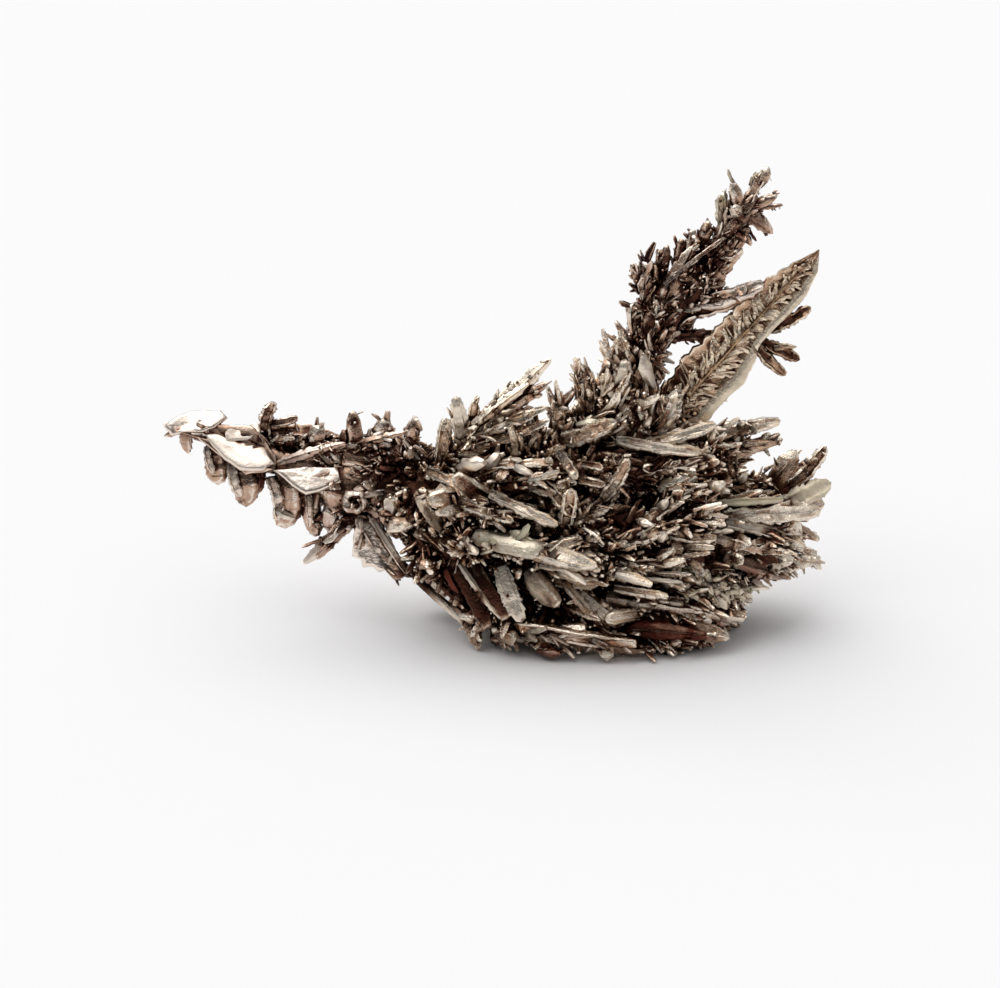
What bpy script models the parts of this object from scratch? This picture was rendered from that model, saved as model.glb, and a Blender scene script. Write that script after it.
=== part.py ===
"""A dendritic crystal of titanium metal: laths, bars and leaves grown out of a low, matted heart.

Four limbs fork from the heart, and each is a solid of its own: the flat frond on the left, the twig
on top, the dark spire and the fern-like blade. Every crystal is a faceted rod or plate, and the
crystals of one limb are fused into one closed body. Places are read off a drawing of the front.
"""

import math
import random
from dataclasses import dataclass

import bmesh
import bpy
from mathutils import Matrix, Quaternion, Vector

# ---- driving dimensions -------------------------------------------------------------------------

GRID = 0.00075  # one step of the drawing's grid, in metres: the crystal is 66.5 steps wide, 50 mm
GAP = 0.0003  # clearance between two limbs, in metres
FLOOR = 0.0  # the underside is flat at this height, where the crystal was broken off

# The drawing shows the front from a little above, in perspective.
DRAWING_TILT = math.radians(25.0)
DRAWING_REACH = 340.0  # steps from the eye to the drawing
DRAWING_CENTRE = (-9.0, 12.6)  # steps right of and above the origin
TOWARD_VIEWER = Vector((0.0, -math.cos(DRAWING_TILT), math.sin(DRAWING_TILT)))

# A crystal's outline from foot to tip: (share of length, of width, of thickness) at each station.
LATH = ((0.0, 0.72, 0.8), (0.62, 1.0, 1.0), (1.0, 0.14, 0.2))
BAR = ((0.0, 0.85, 0.85), (0.86, 1.0, 1.0), (1.0, 0.6, 0.55))
LEAF = ((0.0, 0.45, 0.7), (0.5, 1.0, 1.0), (1.0, 0.12, 0.2))
SPIKE = ((0.0, 1.0, 1.0), (0.55, 0.7, 0.7), (1.0, 0.12, 0.14))
KNOB = ((0.0, 0.7, 0.75), (0.55, 1.0, 1.0), (1.0, 0.55, 0.55))
TABLET = ((0.0, 0.72, 0.9), (0.55, 1.0, 1.0), (1.0, 0.5, 0.6))
STEM = (
    (0.0, 0.45, 0.45),
    (0.15, 0.9, 0.9),
    (0.33, 0.76, 0.8),
    (0.5, 1.0, 1.0),
    (0.68, 0.8, 0.82),
    (0.86, 0.9, 0.9),
    (1.0, 0.4, 0.4),
)

HERO_SIDES = 6
SPROUT_SIDES = 4
STEM_SIDES = 8
FACET_JITTER = 0.07  # how far a corner strays, as a share of the crystal's width
STEM_JITTER = 0.15
GROUND_SIZE = 0.2
ATTEMPTS = 40
KEPT_TRIANGLES = 0.55


def spot(right, up, back):
    """The point drawn at (right, up) steps that lies back steps behind the origin, in metres."""
    sine, cosine = math.sin(DRAWING_TILT), math.cos(DRAWING_TILT)
    offset_right = right - DRAWING_CENTRE[0]
    offset_up = up - DRAWING_CENTRE[1]
    flat_depth = (back - DRAWING_CENTRE[1] * sine) / cosine
    slope = sine / cosine / DRAWING_REACH
    rise = offset_up * (1.0 + flat_depth / DRAWING_REACH) / (1.0 + offset_up * slope)
    depth = flat_depth - rise * sine / cosine
    x = DRAWING_CENTRE[0] + offset_right * (1.0 + depth / DRAWING_REACH)
    z = (DRAWING_CENTRE[1] + rise) * cosine - depth * sine
    return Vector((x, back, z)) * GRID


@dataclass(frozen=True)
class Crystal:
    """One crystal: a faceted rod or plate from foot to tip, its broad side turned to facing."""

    outline: tuple
    foot: Vector
    tip: Vector
    width: float
    thick: float
    facing: Vector
    sides: int = HERO_SIDES

    @property
    def axis(self):
        return (self.tip - self.foot).normalized()

    def frame(self):
        """Across, through and along the crystal."""
        through = self.facing - self.axis * self.axis.dot(self.facing)
        if through.length < 0.05:
            through = self.axis.orthogonal()
        through.normalize()
        return through.cross(self.axis), through, self.axis


def crystal(outline, foot, tip, width, thick, lean=0.0, sides=HERO_SIDES):
    """A crystal placed on the drawing. Its broad side faces the viewer, or the sky by the lean."""
    sky = Quaternion(Vector((1.0, 0.0, 0.0)), math.radians(-lean))
    facing = sky @ TOWARD_VIEWER
    return Crystal(outline, spot(*foot), spot(*tip), width * GRID, thick * GRID, facing, sides)


def stem(foot, tip, width, thick):
    """The thick inside of a limb, placed on the drawing."""
    return crystal(STEM, foot, tip, width, thick, sides=STEM_SIDES)


def mass(middle, length, depth, height, slope=0.0):
    """The thick inside of a part of the heart, in steps from the origin."""
    angle = math.radians(slope)
    half = Vector((math.cos(angle), 0.0, math.sin(angle))) * (0.5 * length)
    foot, tip = (Vector(middle) - half) * GRID, (Vector(middle) + half) * GRID
    up = Vector((0.0, 0.0, 1.0))
    return Crystal(STEM, foot, tip, depth * GRID, height * GRID, up, STEM_SIDES)


# ---- the limbs' own crystals --------------------------------------------------------------------


def left_frond_stems():
    return [
        stem((-14.5, 13.2, 0.6), (-27.0, 13.6, 1.0), 7.2, 4.6),
        stem((-15.5, 16.0, 1.4), (-26.0, 16.4, 1.6), 3.8, 3.2),
        stem((-24.0, 14.2, 1.2), (-33.5, 16.4, 1.8), 3.6, 2.4),
        stem((-31.0, 16.6, 1.8), (-40.5, 19.0, 2.8), 1.8, 1.2),
    ]


def left_frond_crystals():
    ribbon = [
        crystal(TABLET, (-24, 12.8, 0), (-32, 15.0, 1), 3.2, 0.9, 20),
        crystal(TABLET, (-29, 14.4, 1), (-37.0, 17.4, 2), 3.6, 0.8, 30),
        crystal(TABLET, (-31.5, 17.4, 1.4), (-38, 18.9, 2.2), 2.2, 0.7, 35),
        crystal(TABLET, (-34, 16.9, 2), (-41, 19.2, 3), 2.6, 0.7, 35),
        crystal(LATH, (-36, 18.7, 2.4), (-42.5, 19.5, 3.2), 1.5, 0.6, 40),
    ]
    hanging = [
        crystal(SPIKE, (-40.8, 19.4, 3.1), (-42.5, 18.4, 3.1), 0.9, 0.7, sides=4),
        crystal(SPIKE, (-40.2, 19.0, 2.9), (-40.2, 16.8, 2.7), 1.6, 0.9, sides=4),
        crystal(KNOB, (-37.3, 17.4, 2.0), (-37.2, 13.9, 1.6), 2.5, 1.2),
        crystal(KNOB, (-34.9, 16.0, 1.6), (-34.7, 11.6, 1.0), 2.1, 1.2),
        crystal(KNOB, (-30.7, 14.8, 1.0), (-30.8, 9.7, 0.3), 2.9, 1.5),
        crystal(LATH, (-27.1, 13.4, 0.4), (-27.8, 7.5, 0.0), 2.2, 1.2, sides=4),
        crystal(LATH, (-23.6, 10.6, -0.5), (-28.5, 5.8, -0.5), 1.9, 1.0, sides=4),
        crystal(KNOB, (-24.4, 12.7, 0.3), (-25.0, 8.4, 0.0), 2.2, 1.2, sides=4),
        crystal(KNOB, (-28.8, 14.0, 0.6), (-28.7, 10.4, 0.4), 1.6, 1.0, sides=4),
        crystal(LATH, (-32.8, 15.4, 1.0), (-33.0, 12.4, 0.8), 1.2, 0.9, sides=4),
    ]
    upper_row = [
        crystal(SPIKE, (-32.3, 17.6, 2.4), (-31.7, 21.9, 2.4), 2.2, 1.2, sides=4),
        crystal(BAR, (-32.2, 19.6, 2.4), (-29.3, 20.2, 2.2), 0.9, 0.8, sides=4),
        crystal(LEAF, (-33.0, 18.4, 2.6), (-25.0, 18.2, 2.4), 2.4, 1.4),
        crystal(SPIKE, (-28.0, 17.2, 2.0), (-26.8, 19.5, 2.0), 1.8, 1.1, sides=4),
        crystal(LATH, (-31.4, 15.6, 0.6), (-24.6, 17.7, 0.4), 0.9, 0.7, sides=4),
        crystal(BAR, (-23.6, 16.0, 1.4), (-23.6, 20.8, 1.4), 1.6, 1.2),
        crystal(LATH, (-25.4, 17.0, 0.8), (-18.2, 18.9, 0.6), 1.2, 0.9),
        crystal(KNOB, (-20.8, 16.4, 1.6), (-20.6, 20.0, 1.6), 2.1, 1.4),
        crystal(BAR, (-17.9, 16.0, 1.4), (-17.7, 20.1, 1.4), 1.5, 1.1),
        crystal(SPIKE, (-22.2, 16.4, 1.4), (-22.0, 19.0, 1.4), 1.2, 1.0, sides=4),
    ]
    root = [
        crystal(KNOB, (-23.4, 12.4, 0.0), (-23.6, 11.6, -3.0), 2.0, 1.8),
        crystal(TABLET, (-23.4, 11.2, -1.2), (-19.5, 3.9, -3.2), 4.0, 1.0, 10),
        crystal(LATH, (-23.4, 11.0, -1.4), (-18.8, 4.4, -3.8), 1.0, 0.9, sides=4),
        crystal(LATH, (-22.2, 11.2, -1.8), (-18.9, 8.9, -3.2), 1.0, 0.8, sides=4),
        crystal(LATH, (-20.4, 12.0, -1.6), (-16.2, 9.8, -3.0), 1.3, 1.0, sides=4),
    ]
    return ribbon + hanging + upper_row + root


def top_twig_stems():
    return [stem((-15.0, 15.6, 1.0), (-7.4, 21.2, 1.0), 2.6, 2.4)]


def top_twig_crystals():
    return [
        crystal(LATH, (-13.0, 18.0, 1.0), (-4.1, 26.0, 1.6), 1.8, 1.2),
        crystal(LATH, (-12.8, 18.4, 0.4), (-6.2, 23.6, 0.8), 1.1, 0.9, sides=4),
        crystal(LATH, (-11.2, 18.8, 0.8), (-4.4, 23.6, 1.0), 1.6, 1.1),
        crystal(LATH, (-12.0, 18.2, 0.0), (-4.6, 21.2, 0.0), 1.5, 1.1, 20),
        crystal(LATH, (-11.4, 17.4, -0.6), (-4.2, 20.0, -0.6), 1.2, 1.0, 20, sides=4),
        crystal(TABLET, (-12.6, 17.4, 1.0), (-13.4, 22.1, 1.2), 1.7, 0.9),
        crystal(BAR, (-12.2, 18.0, 1.4), (-11.5, 21.9, 1.6), 1.0, 0.8, sides=4),
        crystal(KNOB, (-11.2, 18.0, 1.2), (-10.4, 21.0, 1.2), 1.4, 1.1, sides=4),
    ]


def spire_stems():
    return [
        stem((4.2, 21.6, 4.4), (6.6, 31.6, 5.6), 4.4, 3.8),
        stem((5.6, 27.6, 5.4), (12.4, 36.0, 6.4), 5.0, 4.0),
        stem((10.6, 34.6, 6.2), (16.4, 42.4, 6.6), 2.6, 2.2),
    ]


def spire_crystals():
    body = [
        crystal(LATH, (5.6, 28.0, 4.6), (14.4, 38.4, 5.8), 3.0, 2.0),
        crystal(LATH, (7.6, 30.0, 4.6), (15.0, 36.9, 5.4), 2.2, 1.6),
        crystal(LATH, (8.0, 30.4, 5.2), (15.2, 38.0, 6.4), 2.2, 1.6),
        crystal(BAR, (5.4, 28.0, 5.2), (5.8, 36.0, 5.8), 2.1, 1.6),
        crystal(LATH, (7.0, 30.6, 4.6), (10.2, 37.2, 5.2), 1.8, 1.3),
        crystal(LATH, (9.8, 34.2, 5.8), (14.8, 39.6, 6.4), 1.6, 1.2, sides=4),
        crystal(BAR, (5.0, 26.4, 4.6), (4.5, 31.6, 4.8), 1.7, 1.4, sides=4),
    ]
    outer_edge = [
        crystal(SPIKE, (5.4, 32.4, 6.0), (4.1, 35.8, 6.0), 1.0, 0.9, sides=4),
        crystal(BAR, (6.8, 32.4, 6.0), (6.9, 36.9, 6.0), 1.5, 1.1, sides=4),
        crystal(SPIKE, (7.2, 34.0, 6.0), (7.7, 37.6, 6.0), 1.2, 1.0, sides=4),
        crystal(SPIKE, (8.6, 34.8, 6.0), (9.0, 38.2, 6.2), 1.3, 1.0, sides=4),
        crystal(BAR, (9.8, 35.6, 6.2), (10.2, 39.0, 6.4), 1.3, 0.9, sides=4),
        crystal(SPIKE, (11.2, 36.6, 6.4), (11.8, 40.2, 6.6), 1.5, 1.1, sides=4),
        crystal(SPIKE, (5.0, 29.0, 5.4), (3.9, 30.6, 5.2), 1.0, 0.9, sides=4),
    ]
    star = [
        crystal(LATH, (14.2, 39.0, 6.4), (17.8, 45.4, 6.8), 1.5, 1.2),
        crystal(KNOB, (16.8, 43.4, 6.8), (18.0, 44.6, 6.8), 1.3, 1.0, sides=4),
        crystal(BAR, (13.6, 38.6, 6.4), (13.3, 42.6, 6.0), 1.4, 1.0),
        crystal(SPIKE, (14.6, 40.4, 6.4), (14.3, 43.9, 6.2), 1.3, 1.0, sides=4),
        crystal(SPIKE, (15.6, 41.0, 6.4), (18.8, 42.7, 6.4), 1.4, 1.0, sides=4),
        crystal(SPIKE, (15.6, 41.4, 6.6), (19.5, 41.5, 7.0), 1.1, 0.9, sides=4),
        crystal(SPIKE, (15.4, 41.0, 6.6), (18.2, 38.9, 6.8), 2.0, 1.4, sides=4),
        crystal(SPIKE, (14.8, 40.0, 6.2), (16.2, 37.4, 5.8), 1.6, 1.1, sides=4),
        crystal(SPIKE, (15.0, 40.6, 6.4), (16.4, 41.0, 9.0), 1.3, 1.0, sides=4),
        crystal(SPIKE, (14.8, 40.6, 6.2), (14.4, 41.2, 4.0), 1.3, 1.0, sides=4),
    ]
    bridges = [
        crystal(LATH, (8.0, 31.4, 5.2), (17.2, 33.4, 3.9), 1.7, 1.3, 30),
        crystal(LATH, (7.0, 28.2, 5.0), (13.4, 28.6, 4.6), 1.3, 1.1, 20, sides=4),
    ]
    return body + outer_edge + star + bridges


def blade_stems():
    return [
        stem((4.6, 16.4, 2.2), (13.6, 25.8, 3.4), 3.2, 2.6),
        stem((9.6, 21.6, 2.8), (20.4, 33.2, 4.6), 2.4, 1.8),
    ]


def blade_crystals():
    plate = [
        crystal(TABLET, (6.0, 18.4, 2.6), (15.8, 28.0, 3.8), 5.0, 1.3, -8),
        crystal(LEAF, (9.2, 22.4, 3.0), (23.1, 37.2, 4.9), 4.4, 1.2, -8),
        crystal(TABLET, (10.4, 19.8, 2.4), (16.6, 26.4, 3.2), 3.2, 0.9, -12),
        crystal(TABLET, (13.4, 26.6, 3.6), (22.6, 34.4, 4.6), 3.2, 1.0, -12),
        crystal(LATH, (8.6, 24.0, 3.2), (15.6, 31.9, 4.2), 1.4, 1.0),
        crystal(LATH, (14.2, 30.6, 4.2), (22.8, 36.8, 4.9), 1.8, 1.0),
    ]
    thorns = [
        crystal(LATH, (17.8, 29.0, 4.0), (21.9, 31.2, 4.4), 1.3, 1.0, sides=4),
        crystal(LATH, (16.0, 28.4, 3.8), (20.8, 26.1, 3.6), 1.5, 1.0),
        crystal(SPIKE, (16.2, 28.0, 3.6), (19.4, 24.6, 3.2), 1.4, 0.9, sides=4),
    ]
    return plate + thorns


def heart_masses():
    return [
        mass((1.0, -0.4, 8.8), 27.0, 13.0, 12.0),
        mass((-11.0, 0.0, 13.0), 19.0, 7.6, 7.0, -8.0),
        mass((12.0, 0.8, 8.8), 17.0, 10.0, 7.4),
        mass((0.5, 1.4, 16.0), 21.0, 9.0, 7.6),
        mass((2.2, 2.4, 20.6), 10.0, 5.6, 7.0, 40.0),
        mass((0.8, -1.8, 2.6), 23.0, 12.4, 6.6),
        mass((-10.8, -2.6, 6.6), 15.0, 7.0, 6.8, -38.0),
    ]


def heart_crystals():
    long_bars = [
        crystal(BAR, (-12.4, 15.3, -3.4), (-3.8, 15.7, -4.2), 1.2, 1.1, 20),
        crystal(LATH, (-10.4, 12.6, -5.0), (-3.0, 9.4, -7.0), 1.7, 1.3, 30),
        crystal(LATH, (-12.8, 11.6, -4.8), (-7.8, 9.9, -6.4), 1.5, 1.1, 20),
        crystal(TABLET, (-17.4, 12.4, -2.6), (-11.4, 11.2, -4.8), 2.0, 1.0, 25),
        crystal(BAR, (-13.0, 7.5, -5.6), (-4.9, 7.2, -8.2), 2.6, 1.8, 30),
        crystal(LEAF, (-6.8, 7.2, -7.0), (0.4, 5.4, -8.6), 2.5, 1.8, 25),
        crystal(BAR, (-17.4, 10.4, -2.6), (-14.7, 7.0, -4.8), 1.7, 1.2, 20),
        crystal(BAR, (-13.0, 7.4, -4.6), (-14.0, 4.5, -5.6), 1.2, 0.9, sides=4),
    ]
    lower_left = [
        crystal(LEAF, (-6.4, 6.0, -6.2), (-2.9, 1.0, -7.6), 2.8, 1.4, -15),
        crystal(TABLET, (-9.0, 5.6, -5.6), (-6.9, -0.4, -7.0), 1.9, 1.2),
        crystal(LATH, (-12.8, 5.6, -4.8), (-8.9, -0.4, -6.4), 1.1, 1.0, sides=4),
        crystal(LATH, (-11.0, 5.4, -4.4), (-8.0, 0.4, -6.4), 1.2, 1.0, sides=4),
        crystal(BAR, (-18.4, 6.2, -1.2), (-14.4, 2.0, -3.6), 1.6, 1.2, sides=4),
        crystal(TABLET, (-18.6, 10.4, -1.0), (-14.0, 4.0, -2.4), 3.0, 1.6, sides=4),
        crystal(BAR, (-15.4, 2.9, -3.0), (-11.6, 0.6, -5.0), 1.3, 1.1, sides=4),
        crystal(LATH, (-12.8, 2.2, -4.0), (-11.2, -2.8, -6.8), 1.5, 1.2, sides=4),
    ]
    underside = [
        crystal(LATH, (-9.4, -1.3, -6.4), (0.4, -1.8, -8.2), 1.7, 3.6),
        crystal(LATH, (-4.4, -1.5, -7.2), (5.9, -3.0, -8.2), 1.6, 4.4),
        crystal(LEAF, (1.0, -1.2, -5.6), (12.4, -2.0, -6.6), 2.7, 4.2),
        crystal(KNOB, (-5.6, -1.4, -6.8), (-3.0, -3.7, -9.2), 1.7, 1.5, sides=4),
        crystal(SPIKE, (-9.0, 0.6, -5.6), (-11.8, -1.6, -6.4), 1.6, 1.2, sides=4),
        crystal(TABLET, (-1.6, 3.0, -6.0), (3.7, -1.3, -7.8), 2.0, 1.1, 10),
        crystal(LATH, (-2.6, 3.8, -6.4), (1.1, -0.5, -7.8), 1.0, 0.9, sides=4),
        crystal(TABLET, (5.0, 6.2, -4.4), (15.2, 2.1, -5.0), 3.8, 2.4, 30),
        crystal(LATH, (1.6, 2.4, -5.4), (15.4, 0.6, -5.4), 2.6, 2.4, 30),
        crystal(BAR, (2.4, 3.1, -6.4), (7.7, 2.3, -7.2), 1.1, 1.0, 30),
    ]
    right_sprays = [
        crystal(LATH, (7.0, 12.6, 2.2), (18.4, 14.0, 4.4), 2.8, 2.2),
        crystal(LATH, (15.6, 11.4, 3.6), (20.9, 17.0, 4.6), 2.5, 1.7),
        crystal(LATH, (17.6, 12.0, 3.8), (23.6, 17.4, 4.4), 1.9, 1.4),
        crystal(LEAF, (15.2, 10.9, 3.4), (23.7, 13.4, 4.6), 2.4, 1.2),
        crystal(LATH, (8.5, 10.8, 1.6), (23.3, 11.6, 3.0), 2.6, 2.0),
        crystal(LATH, (16.4, 10.4, 2.4), (22.8, 8.1, 2.4), 1.9, 1.4),
        crystal(LEAF, (14.0, 10.4, 1.6), (21.4, 6.7, 1.4), 2.2, 1.6),
        crystal(LATH, (10.0, 7.4, -1.4), (19.1, 4.3, 0.0), 2.0, 1.6),
        crystal(LATH, (10.4, 8.6, -1.0), (18.6, 6.2, 0.6), 1.8, 1.4, sides=4),
        crystal(LATH, (9.0, 5.2, -2.2), (16.6, 3.4, -1.6), 2.2, 1.6, sides=4),
    ]
    forked_bar = [
        crystal(LATH, (3.4, 17.3, -0.2), (12.2, 20.0, 1.2), 1.5, 1.4, 40),
        crystal(LATH, (6.6, 17.1, 1.6), (18.8, 19.9, 3.8), 1.9, 1.6),
        crystal(LATH, (7.4, 16.4, 1.6), (19.0, 18.0, 3.4), 2.0, 1.6),
        crystal(LATH, (7.6, 15.8, 2.0), (15.6, 15.9, 3.0), 1.9, 1.5),
    ]
    crown = [
        crystal(LEAF, (-3.0, 17.7, -0.6), (3.1, 20.1, -0.2), 2.5, 1.7, 20),
        crystal(BAR, (-0.6, 19.0, 1.2), (-0.6, 25.3, 2.2), 1.9, 1.6),
        crystal(BAR, (1.7, 19.6, 1.2), (1.6, 25.5, 2.0), 1.2, 1.0, sides=4),
        crystal(TABLET, (2.8, 20.0, 1.2), (3.5, 25.8, 2.2), 2.2, 1.2),
        crystal(SPIKE, (4.4, 24.0, 2.4), (1.3, 27.6, 3.0), 2.0, 1.4, sides=4),
        crystal(BAR, (4.0, 22.4, 2.4), (3.0, 28.3, 3.2), 1.6, 1.2, sides=4),
        crystal(LATH, (5.8, 19.6, 0.6), (5.4, 25.6, 2.0), 2.2, 1.4),
        crystal(TABLET, (7.2, 18.6, 0.4), (8.6, 22.6, 1.2), 2.0, 1.3, sides=4),
        crystal(BAR, (-3.2, 17.0, 0.6), (-3.1, 21.8, 1.0), 1.6, 1.4),
        crystal(KNOB, (-5.4, 16.4, 0.4), (-5.5, 19.6, 0.8), 1.6, 1.3, sides=4),
        crystal(SPIKE, (-8.2, 16.0, 0.4), (-7.9, 18.8, 0.4), 1.7, 1.3, sides=4),
        crystal(BAR, (-15.2, 15.0, 0.6), (-14.4, 20.0, 0.9), 1.5, 1.2, sides=4),
    ]
    front = [
        crystal(LATH, (-4.6, 13.6, -4.6), (-1.6, 10.4, -6.4), 1.6, 1.2, sides=4),
        crystal(LATH, (2.4, 11.8, -4.8), (3.6, 16.2, -4.0), 2.0, 1.4, sides=4),
        crystal(BAR, (-2.4, 9.8, -6.2), (-1.9, 13.0, -5.8), 1.7, 1.3, sides=4),
        crystal(LATH, (4.0, 9.4, -5.6), (9.4, 12.6, -4.2), 1.8, 1.3, 20, sides=4),
        crystal(LATH, (2.4, 7.6, -6.6), (8.8, 9.6, -5.6), 1.8, 1.4, 20, sides=4),
        crystal(LATH, (7.6, 11.8, -3.6), (13.4, 13.8, -2.2), 1.7, 1.3, 20, sides=4),
        crystal(LATH, (8.6, 8.2, -4.4), (14.6, 9.0, -3.2), 1.9, 1.4, 20, sides=4),
        crystal(LATH, (-1.4, 15.4, -4.2), (5.2, 16.6, -3.6), 1.7, 1.3, 25, sides=4),
        crystal(LATH, (4.6, 14.4, -3.4), (11.2, 15.6, -2.0), 1.6, 1.3, 25, sides=4),
        crystal(BAR, (-8.4, 13.2, -4.0), (-4.6, 14.2, -4.8), 1.6, 1.2, 20, sides=4),
        crystal(LATH, (-16.2, 14.8, -1.8), (-11.4, 13.6, -3.6), 1.6, 1.2, 20, sides=4),
        crystal(LATH, (2.0, 5.2, -7.0), (8.2, 6.0, -6.4), 1.8, 1.4, 25, sides=4),
    ]
    return (
        long_bars + lower_left + underside + right_sprays + forked_bar + crown + front
    )


# ---- small crystals that clad a limb --------------------------------------------------------------


def cladding(stems, count, length, width, rise, seed, sides=SPROUT_SIDES):
    """Crystals over the stems' surface that lean outwards, by rise, from the way the stem grows."""
    chance = random.Random(seed)
    weights = [(item.tip - item.foot).length * (item.width + item.thick) for item in stems]
    made = []
    for _ in range(count):
        item = chance.choices(stems, weights)[0]
        across, through, along = item.frame()
        share = chance.uniform(0.04, 0.98)
        turn = chance.uniform(0.0, math.tau)
        outward = across * math.cos(turn) + through * math.sin(turn)
        girth = 0.5 * math.hypot(item.width * math.cos(turn), item.thick * math.sin(turn))
        girth *= 1.0 - 0.5 * abs(2.0 * share - 1.0) ** 3
        heading = outward * chance.uniform(*rise) + along * chance.choice((1.0, 1.0, -0.6))
        heading = (heading + outward.cross(along) * chance.uniform(-0.4, 0.4)).normalized()
        reach = chance.uniform(*length) * GRID
        girdle = chance.uniform(*width) * GRID
        sunk = min(0.35, 0.6 * girdle / reach)
        start = item.foot.lerp(item.tip, share) + outward * girth
        foot = start - heading * (reach * sunk) - outward * (0.45 * girdle)
        made.append(
            Crystal(
                chance.choice((LATH, LATH, BAR, LEAF)),
                foot,
                foot + heading * reach,
                girdle,
                girdle * chance.uniform(0.5, 0.85),
                outward,
                sides,
            )
        )
    return made


# ---- solids ---------------------------------------------------------------------------------------


def crystal_mesh(item, seed, margin=0.0):
    """The closed mesh of one crystal, grown outwards by margin."""
    chance = random.Random(seed)
    across, through, along = item.frame()
    length = (item.tip - item.foot).length + 2.0 * margin
    foot = item.foot - along * margin
    low, high = item.outline[:2]
    bm = bmesh.new()
    bmesh.ops.create_cone(
        bm,
        cap_ends=True,
        segments=item.sides,
        radius1=0.5 * low[1],
        radius2=0.5 * high[1],
        depth=high[0] * length,
        matrix=Matrix.Translation((0.0, 0.0, 0.5 * high[0] * length)),
    )
    end = max(bm.faces, key=lambda face: face.calc_center_median().z)
    station_of = {vert: low for vert in bm.verts}
    station_of.update({vert: high for vert in end.verts})
    for before, station in zip(item.outline[1:], item.outline[2:]):
        end = bmesh.ops.extrude_discrete_faces(bm, faces=[end])["faces"][0]
        for vert in end.verts:
            vert.co.x *= station[1] / before[1]
            vert.co.y *= station[1] / before[1]
            vert.co.z = station[0] * length
            station_of[vert] = station
    wide, deep = item.width + 2.0 * margin, item.thick + 2.0 * margin
    jitter = STEM_JITTER if item.outline is STEM else FACET_JITTER
    for vert in bm.verts:
        station = station_of[vert]
        stray = [chance.uniform(-jitter, jitter) * station[1] for _ in range(3)]
        vert.co.x = (vert.co.x + stray[0]) * wide
        vert.co.y = (vert.co.y * station[2] / station[1] + stray[1]) * deep
        vert.co.z += stray[2] * item.width
    turn = Matrix((across, through, along)).transposed().to_4x4()
    bmesh.ops.transform(bm, matrix=Matrix.Translation(foot) @ turn, verts=bm.verts)
    mesh = bpy.data.meshes.new("crystal")
    bm.to_mesh(mesh)
    bm.free()
    return mesh


def ground_mesh():
    """The block under the floor, which cuts the underside flat."""
    bm = bmesh.new()
    place = Matrix.Translation((0.0, 0.0, FLOOR - 0.5 * GROUND_SIZE))
    bmesh.ops.create_cube(bm, size=GROUND_SIZE, matrix=place)
    mesh = bpy.data.meshes.new("ground")
    bm.to_mesh(mesh)
    bm.free()
    return mesh


def hidden_collection(name, meshes):
    """A collection of helper objects that Booleans read."""
    group = bpy.data.collections.new(name)
    bpy.context.scene.collection.children.link(group)
    for mesh in meshes:
        helper = bpy.data.objects.new(name, mesh)
        helper.hide_render = True
        helper.display_type = "WIRE"
        group.objects.link(helper)
    return group


def discard(group):
    for helper in list(group.objects):
        bpy.data.objects.remove(helper)
    bpy.data.collections.remove(group)


def bake(obj):
    """Makes the modifiers' result the object's own mesh."""
    graph = bpy.context.evaluated_depsgraph_get()
    mesh = bpy.data.meshes.new_from_object(obj.evaluated_get(graph))
    obj.modifiers.clear()
    obj.data = mesh


def combine(obj, operation, group):
    """Fuses obj with a collection's meshes, or cuts them from it.

    The EXACT solver leaves pinched edges in a solid of this many crystals.
    """
    boolean = obj.modifiers.new(operation.title(), "BOOLEAN")
    boolean.operation = operation
    boolean.operand_type = "COLLECTION"
    boolean.collection = group
    boolean.solver = "MANIFOLD"
    bake(obj)


def thin_out(obj, share):
    """Keeps this share of the triangles: it is the slivers where crystals meet that go first."""
    decimate = obj.modifiers.new("Thin out", "DECIMATE")
    decimate.ratio = share
    decimate.use_collapse_triangulate = True
    bake(obj)


def shells(bm):
    """The faces of each separate shell."""
    left = set(bm.faces)
    while left:
        start = left.pop()
        shell, front = {start}, [start]
        while front:
            for edge in front.pop().edges:
                for face in edge.link_faces:
                    if face in left:
                        left.discard(face)
                        shell.add(face)
                        front.append(face)
        yield shell


def turn_diagonal(bm, one, other):
    """Cuts the quad that two triangles make along its other diagonal, where it bulges outwards."""
    shared = [vert for vert in one.verts if vert in other.verts]
    start = next(loop for loop in one.loops if {loop.vert, loop.link_loop_next.vert} == set(shared))
    first, second = start.vert, start.link_loop_next.vert
    left = start.link_loop_prev.vert
    right = next(vert for vert in other.verts if vert not in shared)
    halves = ((left, first, right), (right, second, left))
    normal = one.normal.copy()
    for a, b, c in halves:
        if (b.co - a.co).cross(c.co - b.co).dot(normal) <= 0.0:
            return False
    bmesh.ops.delete(bm, geom=[one, other], context="FACES_ONLY")
    for corners in halves:
        bm.faces.new(corners)
    return True


def cut_into_triangles(bm):
    """Triangulates, with no diagonal shared by two facets, which would tie four triangles to it."""
    facet = bm.faces.layers.int.new("facet")
    for number, face in enumerate(bm.faces):
        face[facet] = number
    bmesh.ops.triangulate(bm, faces=bm.faces, quad_method="BEAUTY", ngon_method="BEAUTY")
    for edge in [edge for edge in bm.edges if len(edge.link_faces) == 4]:
        by_facet = {}
        for face in edge.link_faces:
            by_facet.setdefault(face[facet], []).append(face)
        pairs = [pair for pair in by_facet.values() if len(pair) == 2]
        any(turn_diagonal(bm, *pair) for pair in pairs)
    bm.faces.layers.int.remove(facet)


def closed(mesh):
    bm = bmesh.new()
    bm.from_mesh(mesh)
    whole = all(len(edge.link_faces) == 2 for edge in bm.edges)
    bm.free()
    return whole


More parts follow.
